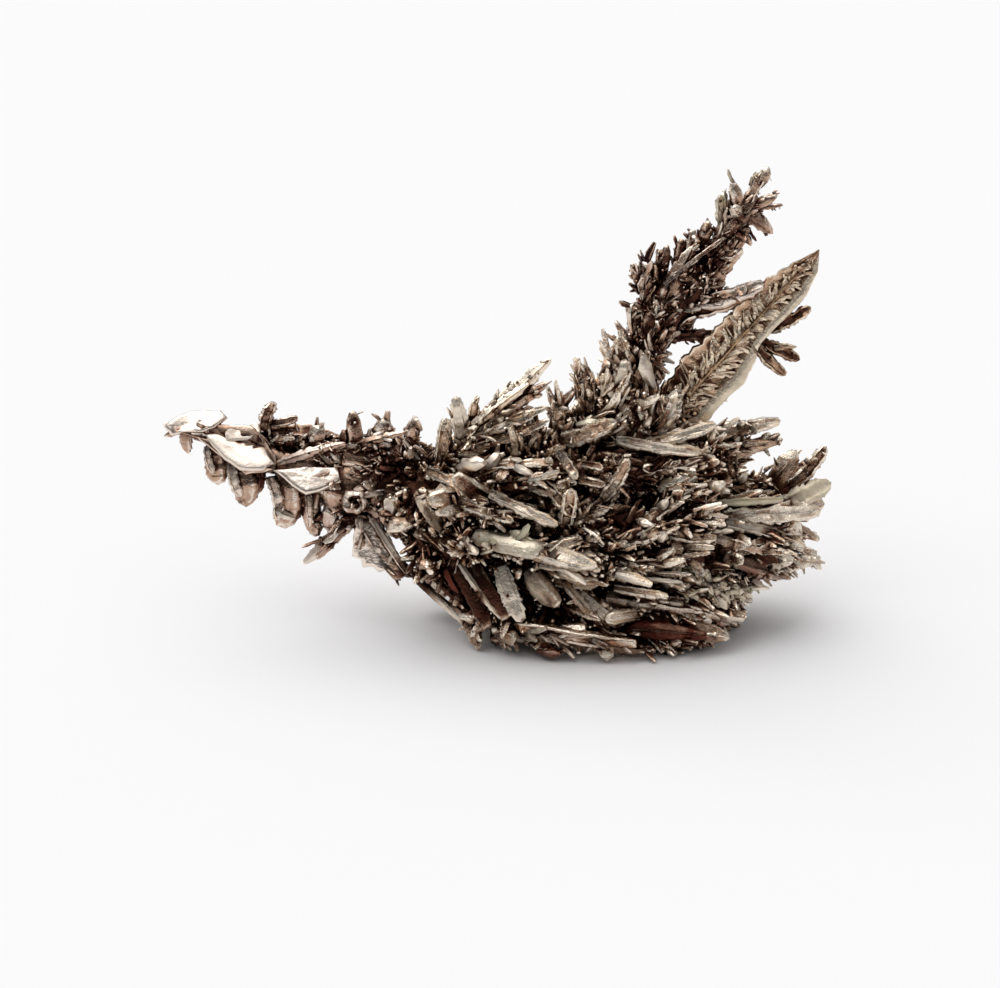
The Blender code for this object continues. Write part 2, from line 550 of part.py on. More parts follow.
def keep_largest_shell(mesh):
    """Cuts the mesh into triangles and keeps only its largest shell."""
    bm = bmesh.new()
    bm.from_mesh(mesh)
    cut_into_triangles(bm)
    by_size = sorted(shells(bm), key=lambda shell: sum(face.calc_area() for face in shell))
    spare = [face for shell in by_size[:-1] for face in shell]
    bmesh.ops.delete(bm, geom=spare, context="FACES")
    bm.to_mesh(mesh)
    bm.free()


def metal(name, colour, roughness):
    material = bpy.data.materials.new(name)
    material.use_nodes = True
    shader = material.node_tree.nodes["Principled BSDF"]
    shader.inputs["Base Color"].default_value = (*colour, 1.0)
    shader.inputs["Metallic"].default_value = 1.0
    shader.inputs["Roughness"].default_value = roughness
    return material


def limb(name, crystals, neighbours, material, collection):
    """One fused solid of crystals, cut clear of the neighbours' crystals.

    Facets that happen to graze each other spoil a solid, so its corners stray anew until none do.
    Returns the crystals, each with the number that its corners strayed by.
    """
    obj = bpy.data.objects.new(name, bpy.data.meshes.new(name))
    collection.objects.link(obj)
    cutters = [crystal_mesh(item, number, GAP) for number, item in neighbours]
    pocket = hidden_collection("pocket in " + name, cutters + [ground_mesh()])
    for attempt in range(ATTEMPTS):
        numbered = list(enumerate(crystals, attempt * len(crystals)))
        meshes = [crystal_mesh(item, number) for number, item in numbered]
        obj.data = meshes[0]
        parts = hidden_collection("parts of " + name, meshes[1:])
        combine(obj, "UNION", parts)
        discard(parts)
        keep_largest_shell(obj.data)
        thin_out(obj, KEPT_TRIANGLES)
        if not closed(obj.data):
            continue
        combine(obj, "DIFFERENCE", pocket)
        keep_largest_shell(obj.data)
        if closed(obj.data):
            break
    else:
        raise RuntimeError(name + " has no sound solid")
    discard(pocket)
    obj.data.materials.clear()
    obj.data.materials.append(material)
    return numbered


def near(crystals, numbered):
    """Those of the numbered crystals that come close enough to crystals to need clearance."""

    def box(item):
        pad = max(item.width, item.thick) + 2.0 * GAP
        low = [min(item.foot[axis], item.tip[axis]) - pad for axis in range(3)]
        high = [max(item.foot[axis], item.tip[axis]) + pad for axis in range(3)]
        return low, high

    boxes = [box(item) for item in crystals]
    found = []
    for number, item in numbered:
        low, high = box(item)
        if any(
            all(low[axis] < b[1][axis] and high[axis] > b[0][axis] for axis in range(3))
            for b in boxes
        ):
            found.append((number, item))
    return found


def main():
    for obj in list(bpy.data.objects):
        bpy.data.objects.remove(obj)
    collection = bpy.data.collections.new("titanium crystal")
    bpy.context.scene.collection.children.link(collection)

    frond, twig, spire, blade = left_frond_stems(), top_twig_stems(), spire_stems(), blade_stems()
    heart = heart_masses()
    plans = {
        "left_frond": frond
        + left_frond_crystals()
        + cladding(frond, 22, (1.6, 3.4), (0.7, 1.3), (0.2, 1.4), seed=11),
        "top_twig": twig
        + top_twig_crystals()
        + cladding(twig, 6, (1.2, 2.6), (0.5, 0.9), (0.3, 1.4), seed=5),
        "spire": spire
        + spire_crystals()
        + cladding(spire, 22, (1.4, 3.0), (0.7, 1.2), (0.3, 1.6), seed=23),
        "blade": blade
        + blade_crystals()
        + cladding(blade, 10, (1.4, 2.6), (0.6, 1.0), (0.2, 1.2), seed=31),
        "heart": heart
        + heart_crystals()
        + cladding(heart, 58, (4.5, 8.5), (1.8, 3.0), (0.0, 0.5), seed=43)
        + cladding(heart, 30, (2.8, 5.0), (1.0, 1.7), (0.5, 2.0), seed=47),
    }
    looks = {
        "left_frond": ((0.62, 0.57, 0.53), 0.26),
        "top_twig": ((0.56, 0.50, 0.44), 0.30),
        "spire": ((0.42, 0.37, 0.33), 0.34),
        "blade": ((0.58, 0.52, 0.45), 0.32),
        "heart": ((0.50, 0.45, 0.40), 0.30),
    }
    grown = []
    for name, crystals in plans.items():
        metal_of_limb = metal(name + " metal", *looks[name])
        grown += limb(name, crystals, near(crystals, grown), metal_of_limb, collection)


main()
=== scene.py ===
"""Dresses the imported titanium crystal: fine crystals, their metal, the stage and the camera."""

import math
import random
from dataclasses import dataclass, replace
from functools import partial

import bmesh
import bpy
import numpy as np
from bpy.props import FloatProperty, FloatVectorProperty, IntProperty, PointerProperty
from mathutils import Matrix, Quaternion, Vector
from mathutils.bvhtree import BVHTree


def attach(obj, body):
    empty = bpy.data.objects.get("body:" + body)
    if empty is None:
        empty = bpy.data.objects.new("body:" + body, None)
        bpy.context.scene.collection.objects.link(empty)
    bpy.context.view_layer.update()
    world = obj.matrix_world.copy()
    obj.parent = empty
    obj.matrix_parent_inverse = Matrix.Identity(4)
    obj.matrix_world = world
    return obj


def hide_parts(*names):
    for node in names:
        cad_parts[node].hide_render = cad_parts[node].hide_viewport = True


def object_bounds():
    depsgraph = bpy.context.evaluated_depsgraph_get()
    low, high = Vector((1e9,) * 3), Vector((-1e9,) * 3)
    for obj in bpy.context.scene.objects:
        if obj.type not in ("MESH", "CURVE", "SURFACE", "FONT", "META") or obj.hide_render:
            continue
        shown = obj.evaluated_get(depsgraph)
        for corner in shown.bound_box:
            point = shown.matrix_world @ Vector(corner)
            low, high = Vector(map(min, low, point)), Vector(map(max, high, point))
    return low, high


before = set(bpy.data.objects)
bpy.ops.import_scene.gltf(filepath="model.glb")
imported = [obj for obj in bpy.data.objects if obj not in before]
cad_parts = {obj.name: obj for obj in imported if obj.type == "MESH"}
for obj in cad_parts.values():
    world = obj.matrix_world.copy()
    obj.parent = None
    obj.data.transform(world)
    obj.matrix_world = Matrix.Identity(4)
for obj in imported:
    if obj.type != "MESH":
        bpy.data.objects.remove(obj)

bl_info = {
    "name": "Titanium Crystal",
    "version": (1, 0, 0),
    "blender": (4, 5, 0),
    "location": "3D View > Sidebar > Crystal",
    "description": "Builds a dendritic crystal of titanium metal on a pale floor",
    "category": "Add Mesh",
}

CAD_BOX = [list(corner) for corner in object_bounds()]

# ---- driving dimensions -------------------------------------------------------------------------

GRID = 0.00075  # one step of the drawing's grid, in metres
DRAWING_TILT = math.radians(25.0)
DRAWING_REACH = 340.0  # steps from the eye to the drawing
DRAWING_CENTRE = (-9.0, 12.6)  # steps right of and above the origin
TOWARD_VIEWER = Vector((0.0, -math.cos(DRAWING_TILT), math.sin(DRAWING_TILT)))
BODY = "root"
SHARP = math.radians(52.0)  # facets that meet at more than this keep a crisp edge
SMALL_SHARP = math.radians(44.0)  # the same on the smallest crystals
SMALL_LAY = 1.4 * GRID  # how long a small shape is taken to be where its streaks are laid
NO_FLOOR = -10.0  # for a shape that isn't in its place yet


# ---- crystal habits -----------------------------------------------------------------------------

# Corners round a crystal, as shares of half its width and thickness. The last number is 1 on an
# edge or a ridge, where the colour is painted bright as edge wear and a painted highlight.
RIDGED = (
    (1.0, 0.0, 1), (0.66, 0.4, 0), (0.24, 0.5, 0), (0.0, 1.0, 1), (-0.2, 0.52, 0),
    (-0.62, 0.42, 0), (-1.0, 0.0, 1), (-0.5, -0.62, 0), (0.0, -0.85, 1), (0.5, -0.6, 0),
)
RIMMED = (
    (1.0, 0.0, 0), (0.86, 0.78, 1), (0.6, 1.0, 1), (0.36, 0.5, 0), (-0.34, 0.46, 0),
    (-0.6, 1.0, 1), (-0.88, 0.76, 1), (-1.0, -0.1, 0), (-0.62, -0.9, 1), (0.6, -0.9, 1),
)
ROUNDED = (
    (1.0, 0.0, 0), (0.86, 0.6, 0), (0.45, 0.94, 1), (-0.1, 1.0, 0), (-0.62, 0.82, 0),
    (-0.94, 0.4, 1), (-0.98, -0.2, 0), (-0.6, -0.85, 0), (0.1, -1.0, 0), (0.78, -0.7, 0),
)
ROOFED = (
    (1.0, -0.1, 1), (0.92, 0.42, 1), (0.15, 1.0, 1), (-0.5, 0.8, 0), (-1.0, 0.1, 0),
    (-0.7, -0.85, 0), (0.6, -0.85, 0),
)
TERRACED = (
    (1.0, -0.4, 0), (0.98, 0.3, 1), (0.66, 0.38, 0), (0.6, 0.96, 1), (-0.4, 1.0, 1),
    (-0.48, 0.44, 0), (-0.98, 0.3, 1), (-1.0, -0.4, 0), (-0.6, -0.95, 0), (0.6, -0.95, 0),
)
FLAT_TOP = (
    (1.0, -0.3, 0), (0.97, 0.5, 1), (0.8, 1.0, 0), (-0.8, 1.0, 0), (-0.97, 0.5, 1),
    (-1.0, -0.3, 0), (-0.6, -1.0, 0), (0.6, -1.0, 0),
)
NUGGET = (
    (1.0, 0.1, 1), (0.5, 0.9, 1), (-0.35, 1.0, 0), (-0.95, 0.5, 1), (-0.8, -0.6, 0), (0.3, -1.0, 1),
)
ROD = (
    (1.0, 0.0, 1), (0.45, 0.9, 0), (-0.5, 0.85, 1), (-1.0, -0.05, 0), (-0.45, -0.9, 1),
    (0.5, -0.85, 0),
)


@dataclass(frozen=True)
class Habit:
    """How a crystal grows: its outline from foot to tip, its section and its notched edges.

    The outline gives a share of the length, the width and the thickness at each station.
    """

    outline: tuple
    section: tuple
    rings: int = 7
    notch: float = 0.0  # how deep the edges are notched, as a share of the width
    ledge: float = 0.0  # how far the broad side steps up and down
    bend: float = 0.1
    jitter: float = 0.05


LATH = Habit(
    ((0.0, 0.72, 0.8), (0.3, 0.95, 0.95), (0.62, 1.0, 1.0), (0.88, 0.7, 0.7), (1.0, 0.34, 0.4)),
    RIDGED, 7, 0.2, 0.06, 0.16,
)
BAR = Habit(
    ((0.0, 0.85, 0.85), (0.5, 0.95, 0.96), (0.86, 1.0, 1.0), (0.96, 0.86, 0.8), (1.0, 0.6, 0.55)),
    RIMMED, 6, 0.12, 0.05, 0.1,
)
SMOOTH_BAR = Habit(
    ((0.0, 0.6, 0.7), (0.12, 0.95, 0.95), (0.5, 1.0, 1.0), (0.9, 1.05, 1.05), (1.0, 0.7, 0.7)),
    ROOFED, 9, 0.05, 0.03, 0.12, 0.03,
)
RIMMED_LEAF = Habit(
    ((0.0, 0.6, 0.7), (0.25, 0.9, 0.9), (0.55, 1.0, 1.0), (0.84, 0.8, 0.8), (1.0, 0.4, 0.45)),
    RIMMED, 9, 0.05, 0.04, 0.16, 0.04,
)
KNOTTED = Habit(
    (
        (0.0, 0.7, 0.8), (0.2, 1.0, 1.0), (0.34, 0.74, 0.8), (0.52, 1.05, 1.0), (0.66, 0.76, 0.85),
        (0.84, 0.96, 0.95), (1.0, 0.5, 0.5),
    ),
    RIMMED, 9, 0.14, 0.1, 0.3, 0.09,
)
LEAF = Habit(
    ((0.0, 0.45, 0.7), (0.25, 0.86, 0.9), (0.5, 1.0, 1.0), (0.8, 0.68, 0.66), (1.0, 0.24, 0.3)),
    RIDGED, 8, 0.14, 0.06, 0.16,
)
POD = Habit(
    ((0.0, 0.5, 0.6), (0.25, 0.84, 0.9), (0.6, 1.08, 1.05), (0.88, 0.86, 0.8), (1.0, 0.55, 0.5)),
    ROUNDED, 9, 0.07, 0.06, 0.3, 0.05,
)
OVAL = Habit(
    ((0.0, 0.5, 0.7), (0.2, 0.86, 0.9), (0.5, 1.0, 1.0), (0.8, 0.9, 0.8), (1.0, 0.5, 0.5)),
    ROUNDED, 9, 0.03, 0.02, 0.12, 0.02,
)
PLATE = Habit(
    ((0.0, 0.7, 0.9), (0.2, 0.94, 1.0), (0.6, 1.0, 1.0), (0.9, 0.86, 0.9), (1.0, 0.6, 0.7)),
    FLAT_TOP, 7, 0.12, 0.03, 0.14, 0.03,
)
SPIKE = Habit(
    ((0.0, 1.0, 1.0), (0.55, 0.8, 0.8), (0.85, 0.6, 0.6), (1.0, 0.3, 0.3)), NUGGET, 5, 0.2, 0.1, 0.2
)
KNOB = Habit(
    ((0.0, 0.6, 0.7), (0.3, 0.85, 0.9), (0.62, 1.05, 1.05), (0.9, 0.8, 0.75), (1.0, 0.45, 0.45)),
    NUGGET, 6, 0.06, 0.04, 0.1,
)
TABLET = Habit(
    ((0.0, 0.72, 0.9), (0.3, 0.96, 1.0), (0.55, 1.0, 1.0), (0.85, 0.86, 0.9), (1.0, 0.5, 0.6)),
    TERRACED, 7, 0.16, 0.06, 0.1,
)
STEM = Habit(
    (
        (0.0, 0.45, 0.45), (0.15, 0.9, 0.9), (0.33, 0.76, 0.8), (0.5, 1.0, 1.0),
        (0.68, 0.8, 0.82), (0.86, 0.9, 0.9), (1.0, 0.4, 0.4),
    ),
    ROUNDED, 8, 0.1, 0.1, 0.05, 0.06,
)
STEM_GIRTH = 0.92  # how thick a stem is made, as a share of how it is drawn, to stay hidden


@dataclass(frozen=True)
class Finish:
    """A look that a crystal's metal has: its tone from deep to bright, its blush towards rust and
    how thickly small crystals mat it."""

    tone: float
    blush: float = 0.0
    matting: float = 0.5


PLAIN = Finish(0.5, 0.0, 0.46)
SILVER = Finish(0.9, 0.1, 0.03)
MAUVE = Finish(0.56, 0.36, 0.05)
CREAM = Finish(0.98, 0.0, 0.1)
TAN = Finish(0.7, 0.06, 0.24)
BLUED = Finish(0.02, -0.26, 0.02)
BROWN = Finish(0.34, 0.2, 0.42)
DARK = Finish(0.16, 0.1, 0.46)
RUST = Finish(0.62, 0.5, 0.3)
MAROON = Finish(-0.12, 0.56, 0.3)
AMBER = Finish(0.62, 0.36, 0.2)
MOSS = Finish(0.28, -0.3, 0.3)
RUSSET = Finish(-0.05, 0.28, 0.04)
BARE = Finish(0.3, 0.2, 0.08)
LILAC = Finish(0.72, 0.22, 0.03)
PEACH = Finish(0.7, 0.16, 0.03)
OLIVE = Finish(0.74, -0.42, 0.06)
DUSK = Finish(-0.12, 0.1, 0.3)
PLUM = Finish(0.16, 0.1, 0.14)
LEMON = Finish(0.86, -0.46, 0.04)
GRIT = Finish(0.8, -0.4, 0.9)
# Hidden stems are near black, so the gaps between the crystals over them read as painted shade.
HIDDEN = Finish(0.06, 0.08, 1.0)


def spot(right, up, back):
    """The point drawn at (right, up) steps that lies back steps behind the origin, in metres."""
    sine, cosine = math.sin(DRAWING_TILT), math.cos(DRAWING_TILT)
    offset_right = right - DRAWING_CENTRE[0]
    offset_up = up - DRAWING_CENTRE[1]
    flat_depth = (back - DRAWING_CENTRE[1] * sine) / cosine
    slope = sine / cosine / DRAWING_REACH
    rise = offset_up * (1.0 + flat_depth / DRAWING_REACH) / (1.0 + offset_up * slope)
    depth = flat_depth - rise * sine / cosine
    x = DRAWING_CENTRE[0] + offset_right * (1.0 + depth / DRAWING_REACH)
    z = (DRAWING_CENTRE[1] + rise) * cosine - depth * sine
    return Vector((x, back, z)) * GRID


@dataclass(frozen=True)
class Crystal:
    """One crystal: a faceted rod or plate from foot to tip, its broad side turned to facing."""

    habit: Habit
    foot: Vector
    tip: Vector
    width: float
    thick: float
    facing: Vector
    finish: Finish = PLAIN

    @property
    def axis(self):
        return (self.tip - self.foot).normalized()

    def frame(self):
        """Across, through and along the crystal."""
        through = self.facing - self.axis * self.axis.dot(self.facing)
        if through.length < 0.05:
            through = self.axis.orthogonal()
        through.normalize()
        return through.cross(self.axis), through, self.axis


def crystal(habit, foot, tip, width, thick, finish=PLAIN, lean=0.0):
    """A crystal placed on the drawing. Its broad side faces the viewer, or the sky by the lean."""
    sky = Quaternion(Vector((1.0, 0.0, 0.0)), math.radians(-lean))
    facing = sky @ TOWARD_VIEWER
    return Crystal(habit, spot(*foot), spot(*tip), width * GRID, thick * GRID, facing, finish)


def drawn(*rows):
    """Crystals placed on the drawing: habit, foot, tip, width, thickness, finish and lean."""
    return [crystal(*row) for row in rows]


def stem(foot, tip, width, thick, finish=HIDDEN):
    """The thick inside of a limb, placed on the drawing."""
    return crystal(STEM, foot, tip, width, thick, finish)


def mass(middle, length, depth, height, slope=0.0):
    """The thick inside of a part of the heart, in steps from the origin."""
    angle = math.radians(slope)
    half = Vector((math.cos(angle), 0.0, math.sin(angle))) * (0.5 * length)
    foot, tip = (Vector(middle) - half) * GRID, (Vector(middle) + half) * GRID
    up = Vector((0.0, 0.0, 1.0))
    return Crystal(STEM, foot, tip, depth * GRID, height * GRID, up, HIDDEN)


# ---- the limbs' own crystals --------------------------------------------------------------------


def left_frond_stems():
    return [
        stem((-14.5, 13.2, 0.6), (-27.0, 13.6, 1.0), 7.2, 4.6),
        stem((-15.5, 16.0, 1.4), (-26.0, 16.4, 1.6), 3.8, 3.2),
        stem((-24.0, 14.2, 1.2), (-33.5, 16.4, 1.8), 3.6, 2.4, BARE),
        stem((-31.0, 16.6, 1.8), (-40.5, 19.0, 2.8), 1.8, 1.2, BARE),
    ]


def left_frond_crystals():
    ribbon = drawn(
        (PLATE, (-24, 12.8, 0), (-32, 15.0, 1), 3.2, 0.9, SILVER, 20),
        (PLATE, (-29, 14.4, 1), (-37.0, 17.4, 2), 3.6, 0.8, SILVER, 30),
        (PLATE, (-31.5, 17.4, 1.4), (-38, 18.9, 2.2), 2.2, 0.7, SILVER, 35),
        (PLATE, (-34, 16.9, 2), (-41, 19.2, 3), 2.6, 0.7, SILVER, 35),
        (LATH, (-36, 18.7, 2.4), (-42.5, 19.5, 3.2), 1.5, 0.6, SILVER, 40),
    )
    hanging = drawn(
        (SPIKE, (-40.8, 19.4, 3.1), (-42.5, 18.4, 3.1), 0.9, 0.7, BROWN),
        (SPIKE, (-40.2, 19.0, 2.9), (-40.2, 16.8, 2.7), 1.6, 0.9, BROWN),
        (POD, (-37.3, 17.4, 2.0), (-37.2, 13.9, 1.6), 2.4, 1.2, PLUM),
        (KNOTTED, (-38.3, 17.4, 1.8), (-37.7, 14.8, 1.2), 0.9, 0.8, LILAC),
        (POD, (-34.7, 16.0, 1.6), (-34.4, 11.7, 1.0), 2.6, 1.3, PLUM),
        (KNOTTED, (-35.8, 15.7, 1.2), (-35.0, 12.5, 0.4), 1.3, 0.9, SILVER),
        (POD, (-30.7, 14.8, 1.0), (-30.5, 9.6, 0.3), 3.1, 1.5, PLUM),
        (KNOTTED, (-32.0, 14.3, 0.6), (-31.1, 10.2, -0.4), 1.4, 1.0, LILAC),
        (LATH, (-31.4, 11.0, -0.5), (-29.6, 10.2, -0.5), 0.8, 0.7, SILVER),
        (POD, (-27.1, 13.4, 0.4), (-27.5, 8.6, 0.0), 1.9, 1.2, PLUM),
        (KNOTTED, (-28.2, 12.8, 0.0), (-28.0, 9.4, -0.5), 0.9, 0.8, LILAC),
        (LATH, (-23.6, 10.6, -0.5), (-28.5, 5.8, -0.5), 1.5, 0.9, TAN),
        (LATH, (-24.2, 9.6, -0.8), (-27.2, 6.2, -0.9), 1.1, 0.9, BROWN),
        (POD, (-25.4, 12.7, 0.3), (-26.2, 9.2, 0.0), 1.8, 1.2, MAUVE),
        (POD, (-28.8, 14.0, 0.6), (-28.9, 11.2, 0.4), 1.4, 1.0, DUSK),
        (LATH, (-32.8, 15.4, 1.0), (-33.0, 12.9, 0.8), 1.2, 0.9, DUSK),
    )
    upper_row = drawn(
        (KNOTTED, (-32.4, 18.6, 2.4), (-31.7, 21.7, 2.4), 1.5, 1.1, DUSK),
        (BAR, (-32.2, 19.6, 2.4), (-29.3, 20.2, 2.2), 0.9, 0.8, BROWN),
        (LEAF, (-33.0, 18.4, 2.6), (-25.0, 18.2, 2.4), 2.4, 1.4, DUSK),
        (KNOB, (-28.0, 17.2, 2.0), (-26.8, 19.3, 2.0), 1.8, 1.1, BROWN),
        (LATH, (-31.4, 15.6, 0.6), (-24.6, 17.7, 0.4), 0.9, 0.7, MAUVE),
        (LEAF, (-33.0, 17.4, 2.4), (-26.0, 16.2, 1.8), 2.8, 1.2, DUSK),
        (KNOB, (-23.6, 16.0, 1.4), (-23.7, 20.7, 1.4), 1.7, 1.3, DUSK),
        (LATH, (-25.4, 17.0, 0.8), (-18.2, 18.9, 0.6), 0.9, 0.8, BROWN),
        (KNOB, (-20.8, 16.4, 1.6), (-20.6, 20.0, 1.6), 2.1, 1.4),
        (KNOB, (-17.9, 16.0, 1.4), (-17.7, 19.9, 1.4), 1.6, 1.2, BROWN),
        (SPIKE, (-22.2, 16.4, 1.4), (-22.0, 19.0, 1.4), 1.2, 1.0),
    )
    root = drawn(
        (KNOB, (-23.4, 12.4, 0.0), (-23.6, 11.8, -1.4), 2.0, 1.8, DARK),
        (BAR, (-22.0, 10.6, -1.8), (-18.2, 4.6, -3.4), 0.8, 0.7, CREAM),
        (LATH, (-22.2, 11.2, -1.8), (-18.9, 8.9, -3.2), 1.0, 0.8, BROWN),
        (LATH, (-20.4, 12.0, -1.6), (-16.2, 9.8, -3.0), 1.3, 1.0, BROWN),
    )
    return ribbon + hanging + upper_row + root


def ribbon_plates():
    """The broad steps of the ribbon, from its tip inwards: outline, thickness and finish."""
    tip = (
        (-42.5, 19.3, 3.0), (-41.4, 20.3, 3.6), (-39.9, 20.9, 4.0), (-36.8, 20.9, 3.8),
        (-36.2, 20.2, 3.2), (-37.4, 19.2, 2.4), (-38.7, 18.7, 2.1), (-40.6, 18.7, 2.3),
        (-42.0, 18.4, 2.5),
    )
    step = (
        (-36.8, 19.2, 2.6), (-35.0, 19.0, 2.6), (-33.2, 19.7, 3.0), (-32.6, 18.8, 2.2),
        (-34.0, 17.9, 1.6), (-36.4, 17.8, 1.6),
    )
    broad = (
        (-38.7, 18.5, 2.2), (-36.2, 18.9, 2.9), (-34.5, 18.5, 2.7), (-32.6, 17.8, 2.1),
        (-31.6, 15.6, -0.4), (-32.6, 14.9, -1.0), (-35.0, 14.9, -0.6), (-36.6, 16.1, 0.4),
        (-37.9, 17.3, 1.3),
    )
    inner = (
        (-31.6, 14.9, 0.2), (-29.8, 13.3, -1.0), (-28.4, 12.5, -1.7), (-26.6, 12.9, -1.5),
        (-24.9, 13.7, -1.1), (-25.2, 15.2, 0.0), (-28.4, 15.3, 0.3),
    )
    under = (
        (-41.6, 18.9, 2.6), (-38.6, 19.6, 2.9), (-35.2, 19.6, 2.8), (-33.4, 19.3, 2.4),
        (-31.4, 16.4, 0.9), (-31.2, 14.9, 0.3), (-34.4, 14.5, 0.2), (-37.0, 16.4, 1.0),
        (-39.4, 18.2, 2.1),
    )
    leaf = (
        (-23.6, 10.6, -1.2), (-22.1, 10.6, -1.2), (-20.4, 7.6, -2.2), (-18.1, 4.4, -3.2),
        (-19.5, 4.0, -3.2), (-20.4, 4.9, -3.0), (-21.1, 4.8, -2.9), (-21.7, 5.4, -2.6),
        (-22.7, 5.3, -2.5), (-22.9, 6.1, -2.3), (-23.8, 6.4, -2.1), (-23.7, 8.2, -1.7),
    )
    return (
        (under, 0.7, DARK), (tip, 0.7, LILAC), (step, 0.6, SILVER), (broad, 0.8, SILVER),
        (inner, 0.9, LILAC), (leaf, 0.9, PEACH),
    )


def top_twig_stems():
    return [stem((-15.0, 15.6, 1.0), (-7.4, 21.2, 1.0), 2.6, 2.4)]


def top_twig_crystals():
    return drawn(
        (LATH, (-13.0, 18.0, 1.0), (-4.1, 26.0, 1.6), 1.8, 1.2, TAN),
        (LATH, (-12.8, 18.4, 0.4), (-6.2, 23.6, 0.8), 1.1, 0.9),
        (LATH, (-11.2, 18.8, 0.8), (-4.4, 23.6, 1.0), 1.6, 1.1, RUST),
        (LATH, (-12.0, 18.2, 0.0), (-4.6, 21.2, 0.0), 1.5, 1.1, TAN, 20),
        (LATH, (-11.4, 17.4, -0.6), (-4.2, 20.0, -0.6), 1.2, 1.0, PLAIN, 20),
        (TABLET, (-12.6, 17.4, 1.0), (-13.4, 22.1, 1.2), 1.7, 0.9, CREAM),
        (BAR, (-12.2, 18.0, 1.4), (-11.5, 21.9, 1.6), 1.0, 0.8),
        (KNOB, (-11.2, 18.0, 1.2), (-10.4, 21.0, 1.2), 1.4, 1.1),
    )


def spire_stems():
    return [
        stem((4.2, 21.6, 4.4), (6.6, 31.6, 5.6), 4.4, 3.8),
        stem((5.6, 27.6, 5.4), (12.4, 36.0, 6.4), 5.0, 4.0),
        stem((10.6, 34.6, 6.2), (16.4, 42.4, 6.6), 2.6, 2.2),
    ]


def spire_crystals():
    body = drawn(
        (LATH, (5.6, 28.0, 4.6), (14.4, 38.4, 5.8), 3.0, 2.0, BROWN),
        (KNOTTED, (7.4, 33.6, 4.4), (13.4, 38.2, 5.2), 0.6, 0.6, MAUVE),
        (LATH, (7.6, 30.0, 4.6), (15.0, 36.9, 5.4), 2.2, 1.6, BROWN),
        (LATH, (8.0, 30.4, 5.2), (15.2, 38.0, 6.4), 2.2, 1.6, DARK),
        (KNOTTED, (5.4, 28.0, 5.2), (5.8, 35.6, 5.8), 2.0, 1.6, DARK),
        (LATH, (7.0, 30.6, 4.6), (10.2, 37.2, 5.2), 1.8, 1.3, BROWN),
        (LATH, (9.8, 34.2, 5.8), (14.8, 39.6, 6.4), 1.6, 1.2),
        (BAR, (5.0, 26.4, 4.6), (4.5, 31.6, 4.8), 1.7, 1.4, DARK),
    )
    outer_edge = drawn(
        (KNOB, (5.4, 32.4, 6.0), (4.2, 35.6, 6.0), 0.9, 0.8, DUSK),
        (KNOTTED, (6.8, 32.4, 6.0), (7.1, 36.9, 6.0), 1.4, 1.1, DARK),
        (KNOB, (7.2, 34.0, 6.0), (7.7, 37.4, 6.0), 1.0, 0.9, DUSK),
        (KNOB, (8.6, 34.8, 6.0), (9.2, 38.0, 6.2), 1.1, 0.9, DUSK),
        (KNOB, (9.8, 35.6, 6.2), (10.3, 39.0, 6.4), 1.2, 0.9, BROWN),
        (KNOB, (11.2, 36.6, 6.4), (11.8, 39.8, 6.6), 1.3, 1.0, DARK),
        (SPIKE, (5.0, 29.0, 5.4), (3.9, 30.6, 5.2), 1.0, 0.9),
    )
    star = drawn(
        (KNOTTED, (14.2, 39.0, 6.4), (17.6, 45.0, 6.8), 1.3, 1.1, MOSS),
        (KNOB, (16.9, 43.4, 6.8), (17.8, 45.2, 6.8), 1.2, 1.0, MOSS),
        (KNOTTED, (13.6, 38.6, 6.4), (13.1, 42.4, 6.0), 1.3, 1.0, MOSS),
        (KNOB, (14.8, 40.4, 6.4), (14.3, 43.7, 6.2), 1.4, 1.1, MOSS),
        (KNOB, (15.6, 41.0, 6.4), (18.6, 42.4, 6.4), 1.1, 1.0, DARK),
        (SPIKE, (15.6, 41.4, 6.6), (19.2, 41.5, 7.0), 0.8, 0.8, DUSK),
        (SPIKE, (15.4, 41.0, 6.6), (18.1, 38.8, 6.8), 1.9, 1.4, DUSK),
        (SPIKE, (14.8, 40.0, 6.2), (16.0, 37.6, 5.8), 1.4, 1.1, DUSK),
        (KNOB, (15.0, 40.6, 6.4), (16.4, 41.0, 9.0), 1.3, 1.0, MOSS),
        (KNOB, (14.8, 40.6, 6.2), (14.4, 41.2, 4.2), 1.3, 1.1, MOSS),
    )
    bridges = drawn(
        (KNOTTED, (8.0, 31.2, 5.2), (17.2, 33.4, 3.9), 2.1, 1.5, AMBER, 30),
        (LATH, (7.0, 28.2, 5.0), (13.4, 28.6, 4.6), 1.3, 1.1, DUSK, 20),
        (KNOTTED, (8.0, 30.4, 5.2), (15.0, 32.0, 4.4), 1.5, 1.2, DUSK),
    )
    return body + outer_edge + star + bridges


def blade_stems():
    return [
        stem((4.6, 16.4, 2.2), (13.6, 25.8, 3.4), 3.2, 2.6),
        stem((9.6, 21.6, 2.8), (20.4, 33.2, 4.6), 2.4, 1.8),
    ]


